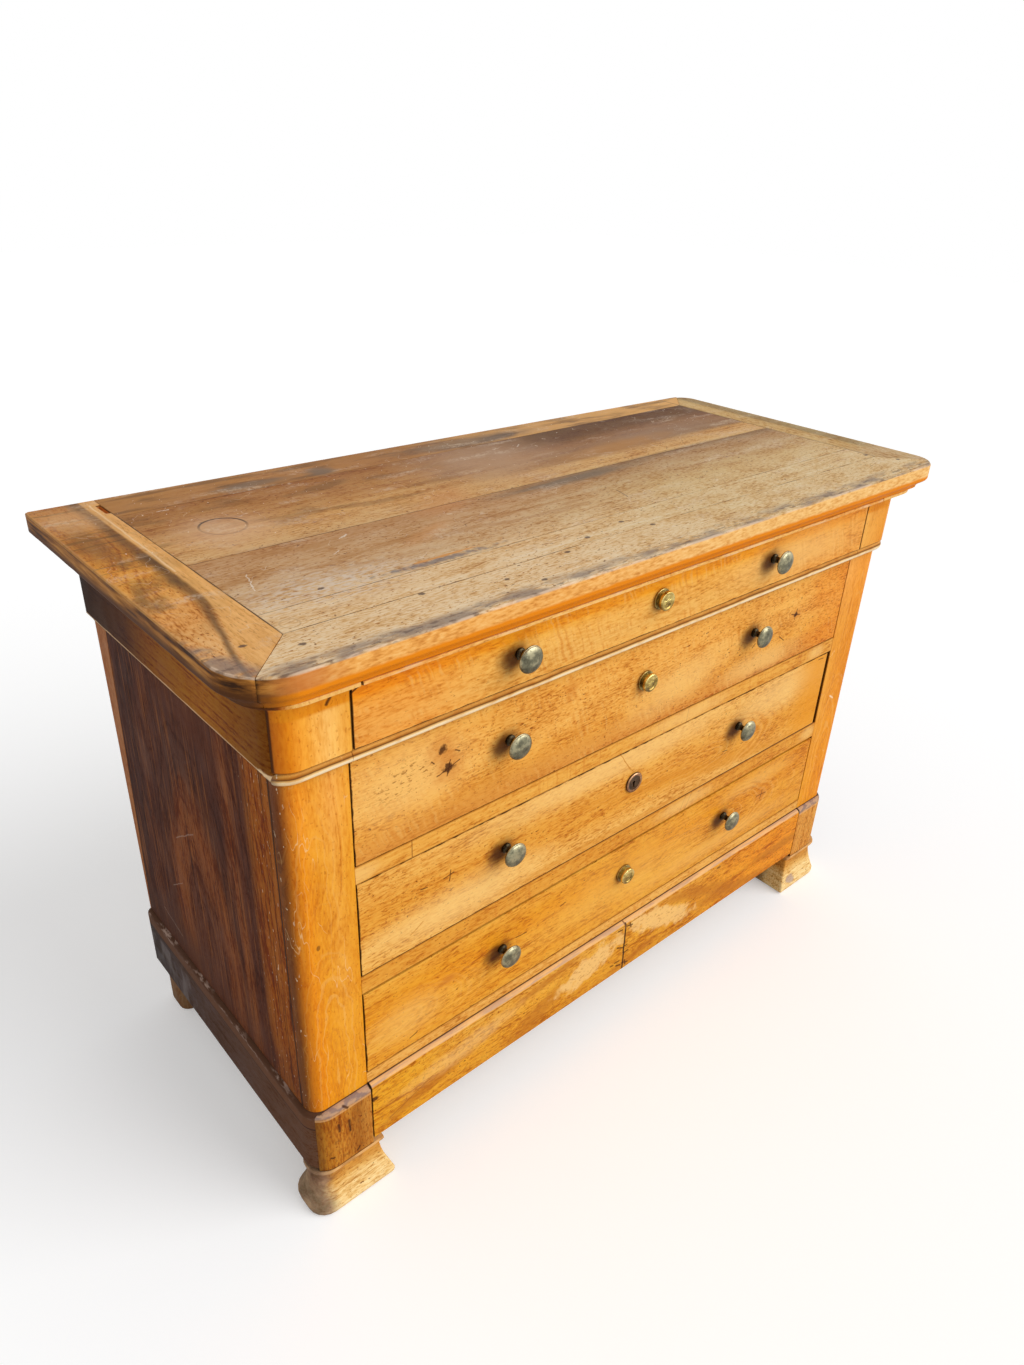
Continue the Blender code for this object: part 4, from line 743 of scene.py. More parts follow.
def drawer_4_material():
    paint = Paint("drawer_4", 59)
    z = paint.z - paint.x * 0.02 + paint.sway(0.024, (0.3, 0.1, 0.03))
    base = paint.bands(z, (
        (0.213, (0.76, 0.34, 0.036)), (0.235, (0.76, 0.31, 0.0224)), (0.27, (0.8, 0.36, 0.04)),
        (0.31, (0.76, 0.28, 0.012)), (0.33, (0.76, 0.3, 0.0176)), (0.36, (0.79, 0.35, 0.04)),
    ))
    base = paint.blend(paint.x.rise(0.05, 0.4) * 0.45, base, (0.7, 0.25, 0.022))
    height = walnut(paint, "x", "z", base, 0.022, 0.55, 1.1, 1.2, 0.012, 0.75, 0.9, (
        ("xz", (0.3, 0.305), (0.14, 0.04), 0.034), ("xz", (-0.38, 0.26), (0.09, 0.03), 0.016),
    ))
    paint.dabs("xz", (
        ((0.33, 0.33), (0.09, 0.015)), ((0.24, 0.24), (0.18, 0.016)), ((-0.42, 0.27), (0.05, 0.03)),
    ), (0.9, 0.5, 0.12), 0.5, soft=1.5, size=0.02)
    paint.dab("xz", (0, 0.285), (0.14, 0.05), (0.86, 0.46, 0.09), 0.45, soft=1.7, size=0.03)
    curls(paint, (0.22, 0.285), 1.8, (0.22, 0.055), 0.0062, 0.32)
    curls(paint, (-0.45, 0.265), 1.6, (0.14, 0.045), 0.0058, 0.24)
    paint.dab("xz", (-0.355, 0.295), (0.013, 0.007), RUSSET, 0.7, soft=1.2)
    paint.dab("xz", (0.352, 0.288), (0.014, 0.012), RUSSET, 0.6, soft=1.2)
    nicks(paint, (
        ((-0.145, 0.307), (-0.135, 0.309)), ((-0.232, 0.297), (-0.212, 0.296)),
        ((0.338, 0.29), (0.366, 0.287)), ((0.351, 0.279), (0.354, 0.297)),
        ((-0.42, 0.228), (-0.408, 0.232)),
    ))
    fitting_shadow_and_dirt(paint, 4)
    dark_edge(paint, BODY_FACE, -DRAWER_HALF, DRAWER_HALF, 0.2143, 0.357, 0.0014)
    return paint.finish(0.44, height)


def plinth_front_material():
    """Book-matched plinth front: a split in the middle, pale flames beside it and brown streaks beyond."""
    paint = Paint("plinth_drawer", 61)
    z = paint.z + paint.sway(0.02, (0.2, 0.1, 0.03))
    base = paint.bands(z, (
        (0.089, (0.67, 0.27, 0.0182)), (0.115, (0.74, 0.31, 0.0208)), (0.15, (0.78, 0.35, 0.0292)),
        (0.19, (0.74, 0.34, 0.0442)),
    ))
    base = paint.blend(paint.x.rise(0.1, 0.42), base, (0.77, 0.26, 0.014))
    base = paint.blend(paint.x.rise(-0.3, -0.45), base, (0.75, 0.32, 0.016))
    height = walnut(paint, "x", "z", base, 0.03, 0.75, 1.4, 1.4, 0.013, 0.9, 1, (
        ("xz", (-0.12, 0.12), (0.12, 0.05), 0.04), ("xz", (0.13, 0.12), (0.12, 0.05), 0.04),
    ))
    for centre, radii, turn in (
        ((-0.18, 0.122), (0.06, 0.02), 24), ((-0.17, 0.176), (0.07, 0.007), 8),
        ((0.2, 0.152), (0.11, 0.013), -20), ((0.44, 0.135), (0.1, 0.01), 0),
        ((0.29, 0.108), (0.12, 0.012), -8), ((-0.4, 0.12), (0.08, 0.01), 12),
        ((0.03, 0.105), (0.06, 0.008), 8),
    ):
        paint.dab("xz", centre, radii, (0.5, 0.16, 0.012), 0.65, turn=turn, soft=1.2, size=0.02, ragged=0.6)
    for centre, radii, strength, turn, soft, size, ragged in (
        ((-0.075, 0.148), (0.07, 0.024), 0.8, 14, 0.5, 0.018, 0.9),
        ((0.095, 0.152), (0.085, 0.022), 0.8, -22, 0.5, 0.018, 0.8),
        ((-0.33, 0.15), (0.09, 0.016), 0.45, 6, 1.3, 0.02, 0.6),
    ):
        pale = paint.spot("xz", centre, radii, turn, soft, ragged, size)
        paint.lay(pale, (0.9, 0.56, 0.2), strength)
    speckle = paint.noise((0.007, 0.01, 0.0035), 2, 18).rise(0.56, 0.68)
    paint.lay(speckle, (0.44, 0.15, 0.015), 0.5)
    shoulder = (paint.z + paint.sway(0.002, (0.05, 0.05, 0.004))).rise(0.1885, 0.19)
    paint.lay(shoulder, (0.86, 0.52, 0.23), 0.8)
    rub = paint.noise((0.06, 0.01, 0.004), 4, 3).rise(0.44, 0.6)
    paint.lay(shoulder * rub, (0.5, 0.31, 0.22), 0.65)
    ledge_shade(paint)
    groove = abs(paint.z - 0.1868).rise(0.0011, 0.0004)
    paint.lay(groove * paint.noise((0.1, 0.02, 0.02), 2, 5).rise(0.35, 0.55), (0.34, 0.11, 0.012), 0.8)
    paint.marks("xz", [((0.004, 0.19), (0.006, 0.088), 0.0034, 0.002, 0.03)], SHADE_AND_DIRT, 1)
    paint.marks("xz", [((0.001, 0.196), (0.004, 0.18), 0.003)], (0.2, 0.08, 0.03), 0.8)
    nicks(paint, (
        ((-0.014, 0.1835), (-0.004, 0.1815)), ((0.008, 0.184), (0.02, 0.18)),
        ((0.014, 0.186), (0.017, 0.177)), ((-0.012, 0.1465), (0.002, 0.1395)),
        ((0.004, 0.1405), (0.012, 0.1405)), ((0.006, 0.126), (0.016, 0.126)),
        ((-0.014, 0.1145), (-0.004, 0.1135)), ((-0.024, 0.1125), (-0.018, 0.1115)),
        ((-0.01, 0.106), (0, 0.102)), ((0.004, 0.104), (0.018, 0.099)), ((0.01, 0.107), (0.013, 0.096)),
    ), 0.003)
    paint.marks("xz", [((-0.462, 0.109), (-0.388, 0.136), 0.0022, 0.001)], (0.36, 0.11, 0.012), 0.7)
    paint.dab("xz", (-0.486, 0.166), (0.006, 0.004), SCORCH, 0.9, ragged=0.8, size=0.004)
    paint.dab("xz", (0.245, 0.182), (0.006, 0.0025), SCORCH, 0.6, ragged=0.6, size=0.004)
    dark_edge(paint, PLINTH_FACE, -0.4902, 0.4902, 0.081, 0.3, 0.0012)
    return paint.finish(0.46, height)


def stile_material(side):
    """Upright grain: dark where it turns the corner to the side, honey on the front."""
    paint = Paint("stile_left" if side < 0 else "stile_right", 67 + side)
    x = (paint.x if side < 0 else 0 - paint.x) + paint.sway(0.006, (0.03, 0.03, 0.25), 2, 2)
    # On the left the run from dark to orange across the rounded corner is partly the darker side wood and
    # partly painted shade.
    if side < 0:
        stops = (
            (-0.577, (0.12, 0.04, 0.01)), (-0.5725, (0.2, 0.06, 0.01)), (-0.566, (0.64, 0.195, 0.01)),
            (-0.555, (0.82, 0.275, 0.01)), (-0.535, (0.82, 0.325, 0.02)), (-0.515, (0.84, 0.36, 0.04)),
            (-0.49, (0.8, 0.31, 0.015)),
        )
    else:
        stops = (
            (-0.575, (0.45, 0.15, 0.015)), (-0.568, (0.78, 0.25, 0.012)), (-0.54, (0.83, 0.3, 0.018)),
            (-0.49, (0.84, 0.35, 0.04)),
        )
    base = paint.bands(x, stops)
    base = paint.tint(paint.z.rise(0.45, 0.22), base, (1, 0.96, 0.5))
    base = paint.tint(paint.z.rise(0.55, 0.69), base, (1.07, 1.12, 1.9))
    height = walnut(paint, "z", "x", base, 0.012, 0.5, 0.7, 0.6, 0.012, 0.4, 0.3, (
        ("xz", (side * 0.537, 0.32), (0.026, 0.14), 0.05), ("xz", (side * 0.53, 0.6), (0.03, 0.09), -0.016),
    ))
    curls(paint, (side * 0.532, 0.3), 0.22, (0.038, 0.19), 0.0046, 0.34, True)
    curls(paint, (side * 0.54, 0.56), 0.22, (0.036, 0.1), 0.0042, 0.24, True)
    bead = paint.z.rise(0.7079, 0.7083)
    bead_light_and_shade(paint, bead)
    round_corner = paint.y.rise(-0.245, -0.238)
    paint.lay(bead * round_corner, (0.16, 0.1, 0.07), 0.6)
    scuffs = abs(paint.noise((0.02, 0.02, 0.1), 2, 14) - 0.5).rise(0.006, 0.001)
    paint.lay(scuffs * paint.noise(0.05, 2, 15).rise(0.5, 0.6), (0.92, 0.6, 0.28), 0.55)
    specks = paint.noise((0.003, 0.003, 0.009), 1, 6).rise(0.69, 0.76)
    corner = abs(paint.x).rise(0.566, 0.571)
    paint.lay(specks * corner, (0.86, 0.66, 0.44), 0.8)
    if side > 0:
        paint.marks("xz", [((0.523, 0.432), (0.534, 0.424), 0.003, 0.001)], (0.92, 0.68, 0.42), 0.9)
    else:
        paint.dab("xz", (-0.545, 0.47), (0.0025, 0.004), SCORCH, 0.6, ragged=0.4)
    flank_shade(paint, BODY_FACE + 0.0005, BODY_FACE + 0.002)
    return paint.finish(0.42, height)


def frieze_block_material(side):
    paint = Paint("frieze_block_left" if side < 0 else "frieze_block_right", 71 + side)
    x = paint.x if side < 0 else 0 - paint.x
    # On the left the run of tones across the block is partly painted shading: painted shade at the side and
    # a painted highlight in the middle of the front.
    if side < 0:
        stops = (
            (-0.583, (0.12, 0.036, 0.008)), (-0.5795, (0.24, 0.065, 0.01)), (-0.5735, (0.62, 0.17, 0.01)),
            (-0.562, (0.84, 0.265, 0.01)), (-0.545, (0.94, 0.41, 0.045)), (-0.52, (0.96, 0.52, 0.13)),
            (-0.49, (0.86, 0.38, 0.04)),
        )
    else:
        stops = ((-0.583, (0.6, 0.2, 0.015)), (-0.565, (0.82, 0.3, 0.02)), (-0.49, (0.87, 0.42, 0.08)))
    base = paint.bands(x, stops)
    face = x.rise(-0.578, -0.566)
    # The amber band on the cove is partly painted shade, and the pale band on the fillet above it partly a
    # painted highlight.
    base = paint.blend(paint.z.rise(0.786, 0.791) * paint.z.rise(0.808, 0.802) * face, base, AMBER)
    base = paint.blend(paint.z.rise(0.8075, 0.8105) * face, base, (0.9, 0.52, 0.15))
    height = walnut(paint, "z", "x", base, 0.01, 0.35, 0.6, 0.5, 0.012, 0.4, 0.3)
    if side < 0:
        flank = paint.y.rise(-0.24, -0.237)
        grain = paint.ramp(paint.noise((0.02, 0.06, 0.006), 3, 9), (
            (0.35, (0.13, 0.046, 0.01)), (0.65, (0.3, 0.115, 0.02)),
        ))
        paint.lay(flank, grain)
        paint.lay(abs(paint.y + 0.2385).rise(0.0022, 0.0008), (0.06, 0.018, 0.006), 0.9)
        paint.marks("xz", [((-0.519, 0.7945), (-0.515, 0.801), 0.0036, 0.001)], SCORCH, 0.85)
    # Painted shadow along the bottom edge, above the bead.
    paint.lay(paint.z.rise(0.729, 0.7275), (0.2, 0.06, 0.008), 0.8)
    flank_shade(paint, -0.262, -0.25)
    return paint.finish(0.42, height)


RAIL_TONES = {1: HONEY, 2: (0.78, 0.355, 0.055), 3: (0.73, 0.305, 0.036), 4: (0.8, 0.4, 0.085)}
RAIL_JOINTS = {2: ((0.1, 0.002), (-0.41, 0)), 3: ((0.115, 0.012), (0.128, 0.014))}
RAIL_PATCHES = {2: ((-0.49, 0.03), (0.1, 0.09), (0.44, 0.02)), 3: ((0.125, 0.06), (0.47, 0.02))}


def shelf_material(number, bottom, top):
    """Rail on the front, plain dust board behind it."""
    paint = Paint(f"rail_{number}", 80 + number)
    inside = paint.ramp(
        paint.noise((0.08, 0.02, 0.02), 4), ((0.3, (0.22, 0.13, 0.06)), (0.7, (0.38, 0.25, 0.13))),
    )
    base = paint.blend(paint.y.rise(-0.232, -0.226), RAIL_TONES[number], inside)
    height = walnut(paint, "x", "z", base, 0.004, 0.45, 1.1, 1.1, 0.007, 0.6, 0.8)
    front = paint.y.rise(-0.226, -0.232)
    if number in RAIL_JOINTS:
        cross = paint.lines((paint.x + paint.sway(0.006, 0.01, 2, 3)) / 0.0052 + paint.z * 8, 2)
        patch = (paint.noise((0.09, 1, 1), 1, 2) + paint.x * 0.25).rise(0.5, 0.54)
        paint.lay(front * patch * cross.rise(0.5, 0.72), RUSSET, 0.4)
        strokes = [
            paint.stroke("xz", (x, bottom), (x + lean, top), 0.0014) for x, lean in RAIL_JOINTS[number]
        ]
        paint.lay(most(*strokes) * front, (0.22, 0.07, 0.01), 0.8)
        for x, reach in RAIL_PATCHES[number]:
            pale = paint.spot("xz", (x, (bottom + top) / 2), (reach, 0.012), soft=1.3, size=0.015)
            paint.lay(pale * front, (0.92, 0.56, 0.18), 0.55)
    if number > 1:
        # Darker along the rail's lower and upper edges, and near black just behind the face: painted shade
        # beside and inside the drawer gaps.
        paint.lay(front * paint.z.rise(bottom + 0.0022, bottom + 0.0008), (0.4, 0.13, 0.012), 0.75)
        paint.lay(front * paint.z.rise(top - 0.002, top - 0.0007), (0.46, 0.16, 0.016), 0.7)
        gap_shade(paint, BODY_FACE)
    else:
        bead_light_and_shade(paint, front)
    return paint.finish(0.44, height)


def plinth_block_material(side):
    paint = Paint("plinth_block_left" if side < 0 else "plinth_block_right", 91 + side)
    if side < 0:
        base = paint.bands(paint.x, (
            (-0.58, (0.085, 0.036, 0.012)), (-0.572, (0.2, 0.075, 0.01)), (-0.56, (0.46, 0.165, 0.012)),
            (-0.535, (0.56, 0.215, 0.022)), (-0.512, (0.38, 0.13, 0.014)), (-0.49, (0.56, 0.22, 0.03)),
        ))
    else:
        base = (0.7, 0.3, 0.05)
    height = walnut(paint, "z", "x", base, 0.01, 0.9, 1.2, 1.3, 0.008, 0.9, 1)
    speckle = paint.noise((0.0035, 0.01, 0.009), 2, 18).rise(0.54, 0.66)
    paint.lay(speckle, (0.22, 0.075, 0.01), 0.55 if side < 0 else 0.3)
    shoulder = (paint.z + paint.sway(0.004, 0.012, 3)).rise(0.183, 0.187)
    paint.lay(shoulder, (0.52, 0.33, 0.21), 0.85)
    rub = paint.noise((0.014, 0.014, 0.006), 4, 3).rise(0.45, 0.6)
    paint.lay(shoulder * rub, (0.22, 0.15, 0.14), 0.75)
    paint.lay(paint.z.rise(0.185, 0.1835) * paint.z.rise(0.18, 0.1815), (0.8, 0.46, 0.2), 0.5)
    ledge_shade(paint)
    if side < 0:
        nicks(paint, (
            ((-0.533, 0.1895), (-0.527, 0.1835)), ((-0.556, 0.104), (-0.552, 0.102)),
            ((-0.516, 0.088), (-0.513, 0.092)), ((-0.542, 0.162), (-0.541, 0.148)),
            ((-0.526, 0.158), (-0.525, 0.136)),
        ), 0.0034)
    flank_shade(paint, PLINTH_FACE + 0.0005, PLINTH_FACE + 0.002)
    # Painted shade along the bottom edge of the block, over the foot.
    paint.lay(paint.z.rise(0.083, 0.0812), SHADE_AND_DIRT, 0.7)
    return paint.finish(0.48, height)


# The sides

def side_panel_material():
    """Flamed dark walnut: a lighter arch between dark bands, rubbed lighter along the front."""
    paint = Paint("side_panel", 101)
    rise = most(paint.z - 0.3, 0) * 0.38
    sway = paint.sway(0.04, (0.3, 0.06, 0.2), 3, 2)
    arch = paint.length(paint.y - 0.02, rise) + sway
    base = paint.bands(arch, (
        (0, (0.12, 0.036, 0.016)), (0.046, (0.135, 0.04, 0.017)), (0.06, (0.21, 0.058, 0.014)),
        (0.078, (0.23, 0.062, 0.014)), (0.094, (0.17, 0.047, 0.014)), (0.106, (0.1, 0.029, 0.012)),
        (0.14, (0.08, 0.022, 0.011)), (0.165, (0.11, 0.03, 0.012)), (0.19, (0.065, 0.018, 0.01)),
        (0.3, (0.085, 0.024, 0.01)),
    ))
    y = paint.y + paint.sway(0.022, (0.3, 0.05, 0.22), 2, 2)
    front = paint.bands(y, (
        (-0.24, (0.34, 0.092, 0.009)), (-0.17, (0.35, 0.094, 0.009)), (-0.155, (0.2, 0.054, 0.009)),
        (-0.148, (0.1, 0.028, 0.012)), (-0.12, (0.115, 0.032, 0.014)), (-0.105, (0.26, 0.078, 0.02)),
        (-0.085, (0.15, 0.044, 0.018)),
    ))
    base = paint.blend(y.rise(-0.078, -0.092), base, front)
    height = walnut(paint, "z", arch, base, 0.01, 1.7, 2.3, 1.6, 0.014, 0.7, 0.5)
    hairs = paint.noise((0.02, 0.0034, 0.1), 4, 30)
    paint.lay(hairs.rise(0.53, 0.66), (0.034, 0.01, 0.006), 0.65)
    paint.lay(hairs.rise(0.46, 0.33), (0.4, 0.135, 0.03), 0.4)
    paint.dab("yz", (-0.01, 0.7), (0.1, 0.05), (0.12, 0.034, 0.014), 0.5, soft=1.6, size=0.05)
    paint.lay(paint.z.rise(0.34, 0.19), (0.1, 0.036, 0.02), 0.45)
    low = paint.z.rise(0.3, 0.215)
    paint.lay(low * paint.y.rise(0, 0.1), (0.075, 0.03, 0.019), 0.5)
    specks = paint.noise((0.01, 0.003, 0.009), 1, 6).rise(0.7, 0.78)
    paint.lay(specks * paint.y.rise(-0.12, -0.2), (0.8, 0.58, 0.4), 0.8)
    # Painted sheen: faint lighter patches of reflected light.
    sheen = paint.noise((0.05, 0.05, 0.12), 4, 9).rise(0.56, 0.78)
    paint.lay(sheen, (0.24, 0.13, 0.09), 0.22)
    paint.marks("yz", (
        ((0.02, 0.49), (0.085, 0.445), 0.0018, 0.003), ((0.09, 0.36), (0.13, 0.33), 0.0014, 0.003),
        ((0.13, 0.23), (0.19, 0.245), 0.0018, 0.004),
    ), (0.5, 0.34, 0.26), 0.35)
    cracks = abs(paint.y + 0.2165 + paint.sway(0.006, (0.1, 0.1, 0.09), 3, 5)).rise(0.003, 0.001)
    paint.lay(cracks, (0.045, 0.02, 0.012), 0.9)
    lean = (paint.y - (0.2545 - paint.z * 0.049 + 0.004)).rise(0, 0.0035)
    paint.lay(lean, (0.05, 0.022, 0.014), 0.75)
    return paint.finish(0.46, height, specular=0.02)


def back_post_material():
    paint = Paint("back_post", 113)
    height = walnut(paint, "z", "y", (0.4, 0.145, 0.042), 0.008, 0.6, 1.1, 1, 0.01, 0.5, 0.3)
    return paint.finish(0.46, height)


def frieze_side_material():
    paint = Paint("frieze_side", 107)
    base = paint.bands(paint.y, (
        (-0.24, (0.2, 0.066, 0.008)), (-0.1, (0.38, 0.13, 0.009)), (0.04, (0.26, 0.082, 0.006)),
        (0.12, (0.085, 0.024, 0.004)), (0.26, (0.03, 0.01, 0.003)),
    ))
    height = walnut(paint, "y", "z", base, 0.008, 0.9, 1.1, 1, 0.008, 0.5, 0.3)
    # Painted shade on the upper part, under the overhanging top.
    paint.lay(paint.z.rise(0.795, 0.812), (0.07, 0.026, 0.01), 0.6)
    rough = paint.sway(0.003, (0.01, 0.03, 0.01), 3)
    ledge = (paint.z + rough).rise(0.724, 0.7222) * paint.z.rise(0.719, 0.72)
    paint.lay(ledge, (0.78, 0.5, 0.26), 0.8)
    # Painted shadow under the ledge.
    paint.lay(paint.z.rise(0.7196, 0.718), (0.07, 0.028, 0.014), 0.85)
    paint.dab("yz", (-0.222, 0.7165), (0.014, 0.008), (0.92, 0.66, 0.38), 0.9,
              turn=-20, soft=0.5, ragged=0.6, size=0.008)
    return paint.finish(0.46, height, specular=0.02)


def plinth_side_material():
    paint = Paint("plinth_side", 109)
    base = paint.bands(
        paint.y, ((-0.24, (0.14, 0.062, 0.032)), (0.05, (0.1, 0.052, 0.038)), (0.26, (0.055, 0.042, 0.04))),
    )
    height = walnut(paint, "y", "z", base, 0.008, 0.6, 1.2, 1.1, 0.01, 0.6, 0.3)
    shoulder = (paint.z + paint.sway(0.004, (0.02, 0.05, 0.01), 3)).rise(0.164, 0.167)
    paint.lay(shoulder, (0.16, 0.066, 0.03), 0.75)
    line = abs(paint.z - 0.1655 + paint.sway(0.003, (0.02, 0.05, 0.02), 2, 5)).rise(0.0016, 0.0006)
    paint.lay(line, (0.04, 0.02, 0.014), 0.85)
    rub = paint.noise((0.02, 0.06, 0.008), 4, 3).rise(0.48, 0.64) * paint.z.rise(0.18, 0.19)
    paint.lay(paint.z.rise(0.18, 0.19), (0.055, 0.028, 0.02), 0.5)
    fine_rub = paint.noise((0.01, 0.012, 0.004), 3, 31).rise(0.42, 0.6)
    paint.lay(rub * fine_rub, (0.48, 0.33, 0.26), 0.75)
    smears = paint.noise((0.05, 0.018, 0.05), 3, 26).rise(0.44, 0.7)
    paint.lay(smears * paint.y.rise(0.04, 0.16) * paint.z.rise(0.16, 0.15), (0.22, 0.18, 0.17), 0.6)
    return paint.finish(0.46, height, specular=0.02)


def plain_wood(name, seed, along, across, base, streaks=0.6, roughness=0.6):
    """Unpolished wood of the inside, the back and the feet behind."""
    paint = Paint(name, seed)
    height = walnut(paint, along, across, base, 0.012, streaks, 1, 1, 0.012, 0.5, 0.4)
    dirt = paint.noise(0.06, 4, 4).rise(0.52, 0.78)
    paint.lay(dirt, (0.16, 0.11, 0.07), 0.45)
    return paint.finish(roughness, height, 0.08, 0.5, specular=0.15)


def foot_material():
    paint = Paint("front_foot", 127)
    # The pale lower band is partly a painted highlight on the flare.
    base = paint.bands(paint.z + paint.sway(0.012, 0.03, 3), (
        (0, (0.88, 0.62, 0.28)), (0.035, (0.88, 0.6, 0.25)), (0.048, (0.76, 0.42, 0.11)),
        (0.058, (0.62, 0.27, 0.045)), (0.07, (0.66, 0.28, 0.045)), (0.08, (0.6, 0.28, 0.06)),
    ))
    height = walnut(paint, "x", "z", base, 0.01, 0.5, 1.2, 1.2, 0.01, 0.7, 1)
    cap = paint.z.rise(0.073, 0.074)
    paint.lay(cap, (0.78, 0.44, 0.17), 0.8)
    paint.lay(abs(paint.z - 0.0733).rise(0.0012, 0.0004), (0.16, 0.06, 0.012), 0.85)
    worn = paint.noise((0.02, 0.02, 0.02), 4, 6).rise(0.5, 0.66)
    paint.lay(worn * paint.z.rise(0.045, 0.06), (0.34, 0.13, 0.03), 0.55)
    left = (paint.x + paint.sway(0.02, 0.02, 3, 5)).rise(-0.548, -0.572)
    mottle = paint.ramp(paint.noise((0.014, 0.02, 0.014), 4, 7), (
        (0.34, (0.11, 0.065, 0.045)), (0.52, (0.24, 0.145, 0.1)), (0.68, (0.42, 0.27, 0.17)),
    ))
    paint.lay(left, mottle, 0.85)
    # Painted shade on the inner end of the right foot, behind its front.
    inner_end_shade = paint.y.rise(-0.222, -0.2) * paint.x.rise(0, 0.1)
    paint.lay(inner_end_shade, (0.13, 0.075, 0.042), 0.8)
    paint.dab("xz", (0.5, 0.022), (0.012, 0.009), (0.4, 0.3, 0.28), 0.7, ragged=0.7)
    return paint.finish(0.5, height)


# The metal

def brass_material(name, seed, tones, roughness, stem_shade=0.92):
    """Aged brass: soft mottling, lighter above and darker below as a painted reflection, and a painted
    shadow on the stem and foot behind.
    """
    paint = Paint(name, seed)
    within = paint.node("SeparateXYZ", {0: paint.node("TexCoord").outputs["Generated"]})
    depth, rise = (Value(within.outputs[axis]) for axis in ("Y", "Z"))
    cloud = paint.noise(0.01, 4, 2)
    fine = paint.noise(0.0026, 3, 4)
    # Lighter above and darker below: a painted reflection.
    tone = cloud * 0.75 + fine * 0.25 + (rise - 0.5) * 0.2
    paint.colour = paint.ramp(tone, tuple(zip((0.3, 0.42, 0.52, 0.62), tones)))
    pit = paint.noise(0.003, 2, 6).rise(0.62, 0.72)
    paint.lay(pit, tones[0], 0.5)
    # Painted shadow on the stem and foot behind.
    paint.lay(depth.rise(0.22, 0.34), (0.03, 0.02, 0.01), stem_shade)
    paint.shader.inputs["Metallic"].default_value = 1
    return paint.close(cloud * 0.25 + roughness, cloud * 0.6 + fine * 0.4 - pit, 0.5)


# Shapes

def place_object(name, mesh, materials, body, nodes):
    piece = bpy.data.objects.new(name, mesh)
    bpy.context.scene.collection.objects.link(piece)
    for material in materials:
        mesh.materials.append(material)
    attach(piece, body)
    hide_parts(*nodes)


def welded(node):
    """A working copy of a node's mesh with its flat faces whole again."""
    work = bmesh.new()
    work.from_mesh(frame["nodes"][node].data)
    bmesh.ops.remove_doubles(work, verts=work.verts, dist=0.00002)
    bmesh.ops.dissolve_limit(work, angle_limit=radians(0.5), verts=work.verts, edges=work.edges)
    return work


def ease(work, width, segments, chosen, sharp=28):
    """Rounds the sharp edges, or only those that a test picks."""
    edges = [e for e in work.edges if len(e.link_faces) == 2 and e.calc_face_angle(0) > radians(sharp)]
    if chosen:
        edges = [e for e in edges if chosen(e)]
    bmesh.ops.bevel(
        work, geom=edges, offset=width, offset_type="OFFSET", segments=segments, profile=0.5,
        affect="EDGES", clamp_overlap=True,
    )


def cut(work, axis, place):
    """Cuts the mesh across an axis."""
    normal = Vector([1 if k == axis else 0 for k in range(3)])
    everything = work.verts[:] + work.edges[:] + work.faces[:]
    bmesh.ops.bisect_plane(work, geom=everything, plane_co=normal * place, plane_no=normal, dist=0.00005)


def slice_along(work, axis, step):
    """Cuts the mesh at even steps, so that its edges can be worn unevenly."""
    values = [v.co[axis] for v in work.verts]
    low, high = min(values), max(values)
    count = int((high - low) / step)
    for i in range(1, count):
        cut(work, axis, low + (high - low) * i / count)


def weather(work, depth, size):
    """Wears rounded edges in by uneven amounts."""
    work.normal_update()
    moves = []
    for vert in work.verts:
        lean = 1 - max(abs(c) for c in vert.normal)
        wear = 0.5 + 0.5 * noise.noise(vert.co / size) + 0.25 * noise.noise(vert.co / (size * 0.27))
        moves.append(vert.normal * (-depth * min(1, lean * 4) * max(0, wear)))
    for vert, move in zip(work.verts, moves):
        vert.co += move


def to_mesh(work, name):
    """Smooth shading with flat faces kept flat."""
    mesh = bpy.data.meshes.new(name)
    work.normal_update()
    work.to_mesh(mesh)
    work.free()
    mesh.shade_smooth()
    mesh.set_sharp_from_angle(angle=radians(42))
    carrier = bpy.data.objects.new(name + "_work", mesh)
    bpy.context.scene.collection.objects.link(carrier)
    weighted = carrier.modifiers.new("even", "WEIGHTED_NORMAL")
    weighted.keep_sharp = True
    bpy.context.view_layer.update()
    done = bpy.data.meshes.new_from_object(carrier.evaluated_get(bpy.context.evaluated_depsgraph_get()))
    bpy.data.objects.remove(carrier)
    bpy.data.meshes.remove(mesh)
    done.name = name
    return done


def body_of(node):
    return frame["nodes"][node]["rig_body"]


def stand_in(work, node, material):
    """The finished shape takes the node's place."""
    mesh = to_mesh(work, node + "_piece")
    place_object(node + "_piece", mesh, [material], body_of(node), [node])


def sink(work, low, high, depth):
    """Lets a rectangle of a flat upper face down into the piece."""
    for axis, place in ((0, low[0]), (0, high[0]), (1, low[1]), (1, high[1])):
        cut(work, axis, place)
    inside = []
    for face in work.faces:
        middle = face.calc_center_median()
        if low[0] < middle.x < high[0] and low[1] < middle.y < high[1] and face.normal.z > 0.9:
            inside.append(face)
    grown = bmesh.ops.extrude_face_region(work, geom=inside)["geom"]
    bmesh.ops.delete(work, geom=inside, context="FACES_ONLY")
    bmesh.ops.translate(
        work, verts=[v for v in grown if isinstance(v, bmesh.types.BMVert)], vec=(0, 0, -depth),
    )


def slanting(face):
    """True on the upright faces of a mitre."""
    return abs(face.normal.z) < 0.1 and abs(face.normal.x * face.normal.y) > 0.05


def off_mitre(edge):
    """False on the edges of the slanting joint faces, which stay sharp so that the joint is closed."""
    return not any(slanting(face) for face in edge.link_faces)


